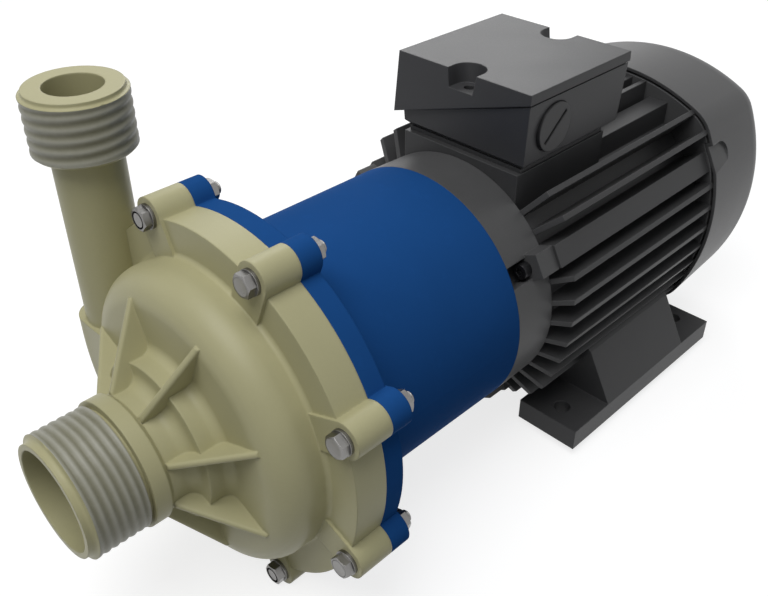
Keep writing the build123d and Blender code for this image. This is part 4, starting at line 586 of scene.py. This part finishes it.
class PUMP_OT_finishes(bpy.types.Operator):
    """Finishes of the solids that show as they are"""

    bl_idname = "pump.finishes"
    bl_label = "Finishes"

    def execute(self, context):
        made = self.by_slot(context.scene.pump_colours)
        for node, piece in NODES.items():
            piece.data.materials.clear()
            piece.data.materials.append(made[SLOT_OF[node]])
        # The end shields get the lighter copy of the motor's paint: painted light on them, not a
        # different paint.
        shield = painted_casting("shield_paint_lit_copy", rgba(context.scene.pump_colours.shield),
                                 depth=0.05 * MM)
        for node in ("drive_end_shield", "fan_end_shield"):
            NODES[node].data.materials[0] = shield
        return {"FINISHED"}

    def by_slot(self, colours):
        """One finish for each material slot of the record."""
        return {
            "casing_plastic": moulded_plastic("casing_plastic_plain", rgba(colours.casing)),
            "pump_plastic": moulded_plastic("pump_plastic", PALE_PLASTIC, gloss=0.45),
            "blue_paint": enamel("blue_enamel", rgba(colours.lantern)),
            "motor_alloy": painted_casting("motor_paint", rgba(colours.motor)),
            "box_alloy": painted_casting("box_paint", rgba(colours.box), grain=0.7 * MM),
            "cowl_plastic": painted_casting("cowl_paint", rgba(colours.cowl), grain=0.6 * MM,
                                            depth=0.05 * MM, shine=0.35),
            "bright_steel": worked_steel("bright_steel", rgba(colours.steel)),
            "dark_steel": worked_steel("black_steel", BLACK_STEEL, gloss=0.36, metallic=0.8),
            "shaft_steel": worked_steel("ground_steel", GROUND_STEEL, gloss=0.18),
            "lamination": laminated("sheet_stack", SHEET_STEEL),
            "magnet": worked_steel("magnet", MAGNET_GREY, gloss=0.45, metallic=0.6),
            "ceramic_white": fired_ceramic("ceramic", CERAMIC),
            "carbon": fired_ceramic("carbon", CARBON),
            "rubber_black": rubber("rubber", RUBBER),
            "copper_winding": enamelled_wire("copper_wire", COPPER),
            "cage_alloy": worked_steel("cast_cage", CAST_ALLOY, gloss=0.42),
            "fan_plastic": moulded_plastic("fan_plastic", FAN_PLASTIC, gloss=0.5),
            "plug_plastic": moulded_plastic("plug_plastic", PLUG_PLASTIC),
            "board_resin": moulded_plastic("board_resin", BOARD_RESIN, gloss=0.4),
            "brass_stud": worked_steel("brass", BRASS, gloss=0.28),
        }


class PUMP_OT_casing(bpy.types.Operator):
    """Casing of the pump with the moulded threads of both ports"""

    bl_idname = "pump.casing"
    bl_label = "Casing"

    def execute(self, context):
        colours = context.scene.pump_colours
        sizes = context.scene.pump_threads
        crest_tone_and_highlight, groove_tone_and_shade = rgba(colours.crest_tone_and_highlight), rgba(colours.groove_tone_and_shade)
        finishes = [moulded_plastic("casing_plastic", rgba(colours.casing))]
        bm = bmesh.new()
        bm.from_mesh(NODES["volute_casing"].data)
        for face in bm.faces:
            face.material_index = 0
        turns_of = {"suction_port": sizes.suction_turns, "discharge_port": sizes.discharge_turns}
        for port, turns in turns_of.items():
            self.cut_thread(bm, MOUNTS[port], turns, sizes.port_depth, material=len(finishes))
            finishes.append(ridged_plastic(f"{port}_thread", crest_tone_and_highlight, groove_tone_and_shade, MOUNTS[port],
                                           sizes.port_depth))
        bmesh.ops.remove_doubles(bm, verts=bm.verts, dist=WELD)
        piece = new_piece("casing_with_threads", smooth_mesh("casing_with_threads", bm),
                          BODY_OF["volute_casing"], finishes)
        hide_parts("volute_casing")
        return {"FINISHED"}

    def cut_thread(self, bm, mount, turns, depth, material):
        """Take a port's plain cylinder away and put a ridged one in its place."""
        axis = Vector(mount["axis"])
        middle = Vector(mount["pos_m"])
        radius = mount["dims"]["r_mm"] * MM
        half = mount["dims"]["length_mm"] * MM / 2
        side = axis.orthogonal().normalized()
        across = axis.cross(side)

        def on_band(vertex):
            away = vertex.co - middle
            along = away.dot(axis)
            out = (away - axis * along).length
            return abs(out - radius) < BAND_SLACK and abs(along) < half + BAND_MARGIN

        band = [face for face in bm.faces if all(on_band(v) for v in face.verts)]
        if not band:
            raise RuntimeError(f"the casing has no plain band at {mount['name']}")
        reach = [(v.co - middle).dot(axis) for face in band for v in face.verts]
        low, high = min(reach), max(reach)
        bmesh.ops.delete(bm, geom=band, context="FACES")
        rows = thread_rows(radius, low, high, (high - low) / turns, depth, PORT_RUN_OUT,
                           PORT_STEPS, PORT_ROWS_PER_TURN)
        rows = [[middle + side * p.x + across * p.y + axis * p.z for p in row] for row in rows]
        add_rows(bm, rows, material)


class PUMP_OT_bolts(bpy.types.Operator):
    """Hexagon bolts, screws and nuts of the casing flange"""

    bl_idname = "pump.bolts"
    bl_label = "Casing bolts"

    def execute(self, context):
        sizes = context.scene.pump_threads
        steel = worked_steel("zinc_steel", rgba(context.scene.pump_colours.steel))
        self.bolts("casing_bolts", "hexagon_bolts", sizes, steel, forward=1)
        self.bolts("casing_back_screws", "hexagon_screws", sizes, steel, forward=-1)
        self.nuts("casing_nuts", "hexagon_nuts", sizes, steel)
        return {"FINISHED"}

    def stand_for(self, node, name, bm, steel):
        """Close a mesh of fasteners and let it stand for its node."""
        piece = new_piece(name, smooth_mesh(name, bm), BODY_OF[node], [steel])
        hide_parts(node)

    def bolts(self, node, name, sizes, steel, forward):
        """Bolts along the shaft; their heads face against the forward direction."""
        bm = bmesh.new()
        for place, (low, high) in sorted(lug_boxes(node).items()):
            start = low.y if forward > 0 else high.y
            centre = Vector(((low.x + high.x) / 2, start, (low.z + high.z) / 2))
            rows = self.bolt_rows(sizes, high.y - low.y, place * BOLT_TURN)
            made = add_rows(bm, to_axis(rows, centre, forward))
            bm.faces.new(made[0])
            bm.faces.new(made[-1])
        self.stand_for(node, name, bm, steel)

    def bolt_rows(self, sizes, length, turn):
        """Rows of a bolt from its head's face to the end of its thread."""
        rows = [circle_row(sizes.bolt_af * HEAD_DISH_SHARE, HEAD_DISH_DEPTH),
                circle_row(sizes.bolt_af * HEAD_RING_SHARE, 0.0)]
        rows += hexagon_rows(sizes.bolt_af, 0.0, sizes.bolt_head, turn, chamfer_high=False)
        rows += [circle_row(sizes.bolt_radius, sizes.bolt_head)]
        rows += thread_rows(sizes.bolt_radius, length - BOLT_THREAD_LENGTH,
                            length - BOLT_END_CHAMFER, sizes.bolt_pitch, BOLT_THREAD_DEPTH)
        rows += [circle_row(sizes.bolt_radius - BOLT_END_CHAMFER, length)]
        return rows

    def nuts(self, node, name, sizes, steel):
        """Nuts behind the lantern's flange, bored through and countersunk."""
        bore = sizes.bolt_radius + NUT_SLACK
        mouth = sizes.bolt_radius + BOLT_THREAD_DEPTH
        bm = bmesh.new()
        for place, (low, high) in sorted(lug_boxes(node).items()):
            centre = Vector(((low.x + high.x) / 2, low.y, (low.z + high.z) / 2))
            height = high.y - low.y
            rows = [circle_row(bore, BOLT_THREAD_DEPTH), circle_row(mouth, 0.0)]
            rows += hexagon_rows(sizes.bolt_af, 0.0, height, place * NUT_TURN, chamfer_high=True)
            rows += [circle_row(mouth, height), circle_row(bore, height - BOLT_THREAD_DEPTH),
                     circle_row(bore, BOLT_THREAD_DEPTH)]
            add_rows(bm, to_axis(rows, centre, 1))
        bmesh.ops.remove_doubles(bm, verts=bm.verts, dist=WELD)
        self.stand_for(node, name, bm, steel)


class PUMP_OT_studio(bpy.types.Operator):
    """Floor, light and camera"""

    bl_idname = "pump.studio"
    bl_label = "Studio"

    def execute(self, context):
        settings = context.scene.pump_studio
        self.floor(context, settings.floor)
        self.sky(context, settings.sky)
        self.lamp(context, "front_lamp", settings.front, FRONT_LAMP_SIZE, FRONT_LAMP_PLACE)
        self.lamp(context, "back_lamp", settings.back, BACK_LAMP_SIZE, BACK_LAMP_PLACE)
        self.camera(context, settings)
        context.scene.view_settings.view_transform = "Standard"
        return {"FINISHED"}

    def floor(self, context, pale):
        """Round floor, white to the camera with a soft shadow in it."""
        low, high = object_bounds()
        bm = bmesh.new()
        bm.faces.new([bm.verts.new((FLOOR_RADIUS * cos(angle), FLOOR_RADIUS * sin(angle), low.z))
                      for angle in round_angles(FLOOR_STEPS)])
        mesh = bpy.data.meshes.new("studio_floor")
        bm.to_mesh(mesh)
        bm.free()
        mesh.materials.append(self.floor_finish(pale))
        floor = bpy.data.objects.new("studio_floor", mesh)
        context.scene.collection.objects.link(floor)
        floor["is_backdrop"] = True

    def floor_finish(self, pale):
        """Pale floor that keeps the shadow, with a glow for what looks at it."""
        finish = Finish("studio_floor")
        seen = finish.in_view()
        cloud = finish.mix(finish.noise(grain=0.4), rgba([pale] * 3), shade([pale] * 3, FLOOR_CLOUD))
        shadow = finish.node("ShaderNodeBsdfDiffuse", None, {"Color": cloud})
        glow = finish.node("ShaderNodeEmission", None, {"Color": WHITE, "Strength": FLOOR_GLOW})
        both = finish.node("ShaderNodeAddShader", None, {0: shadow.outputs[0], 1: glow.outputs[0]})
        mixed = finish.node("ShaderNodeMixShader", None,
                            {0: seen, 1: shadow.outputs[0], 2: both.outputs[0]})
        finish.node("ShaderNodeOutputMaterial", None, {"Surface": mixed.outputs[0]})
        return finish.material

    def sky(self, context, strength):
        """Pale light from all round, white where the camera sees it."""
        world = bpy.data.worlds.new("studio_sky")
        context.scene.world = world
        nodes = Nodes(world)
        soft = nodes.node("ShaderNodeBackground", None, {"Color": SKY_COLOUR, "Strength": strength})
        white = nodes.node("ShaderNodeBackground", None, {"Color": WHITE, "Strength": 1.0})
        mixed = nodes.node("ShaderNodeMixShader", None,
                           {0: nodes.in_view(), 1: soft.outputs[0], 2: white.outputs[0]})
        nodes.node("ShaderNodeOutputWorld", None, {"Surface": mixed.outputs[0]})

    def lamp(self, context, name, power, size, place):
        """A large square lamp that looks at the pump."""
        low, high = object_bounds()
        light = bpy.data.lights.new(name, "AREA")
        light.energy = power
        light.size = size
        lamp = bpy.data.objects.new(name, light)
        context.scene.collection.objects.link(lamp)
        lamp.location = (low + high) / 2 + place
        lamp.rotation_mode = "QUATERNION"
        lamp.rotation_quaternion = (-place).to_track_quat("-Z", "Y")

    def camera(self, context, settings):
        """Camera at the photograph's angle: 45 degrees round and 35 degrees down."""
        data = bpy.data.cameras.new("photo_camera")
        data.sensor_width = SENSOR_WIDTH
        data.lens = settings.lens
        data.clip_start = NEAREST_SEEN
        data.clip_end = FURTHEST_SEEN
        camera = bpy.data.objects.new("photo_camera", data)
        context.scene.collection.objects.link(camera)
        camera.location = settings.eye
        camera.rotation_mode = "QUATERNION"
        camera.rotation_quaternion = VIEW_DIRECTION.to_track_quat("-Z", "Y")
        context.scene.camera = camera


class PUMP_PT_panel(bpy.types.Panel):
    """Panel with the steps that dress the pump"""

    bl_idname = "PUMP_PT_panel"
    bl_label = "Pump"
    bl_space_type = "VIEW_3D"
    bl_region_type = "UI"
    bl_category = "Pump"

    def draw(self, context):
        for group in GROUPS:
            settings = getattr(context.scene, group)
            box = self.layout.box()
            for name in settings.bl_rna.properties.keys():
                if name not in ("rna_type", "name"):
                    box.prop(settings, name)
        for operator in OPERATORS:
            self.layout.operator(operator.bl_idname)


OPERATORS = (PUMP_OT_finishes, PUMP_OT_casing, PUMP_OT_bolts, PUMP_OT_studio)
GROUPS = {"pump_colours": PumpColours, "pump_threads": PumpThreads, "pump_studio": PumpStudio}
CLASSES = (*GROUPS.values(), *OPERATORS, PUMP_PT_panel)


def register():
    """Register the classes and hang the property groups on the scene."""
    for kind in CLASSES:
        bpy.utils.register_class(kind)
    for name, kind in GROUPS.items():
        setattr(bpy.types.Scene, name, bpy.props.PointerProperty(type=kind))


def unregister():
    """Take the property groups and classes away again."""
    for name in GROUPS:
        delattr(bpy.types.Scene, name)
    for kind in reversed(CLASSES):
        bpy.utils.unregister_class(kind)


def main():
    """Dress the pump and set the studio."""
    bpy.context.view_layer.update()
    register()
    bpy.ops.pump.finishes()
    bpy.ops.pump.casing()
    bpy.ops.pump.bolts()
    bpy.ops.pump.studio()


if __name__ == "__main__":
    main()
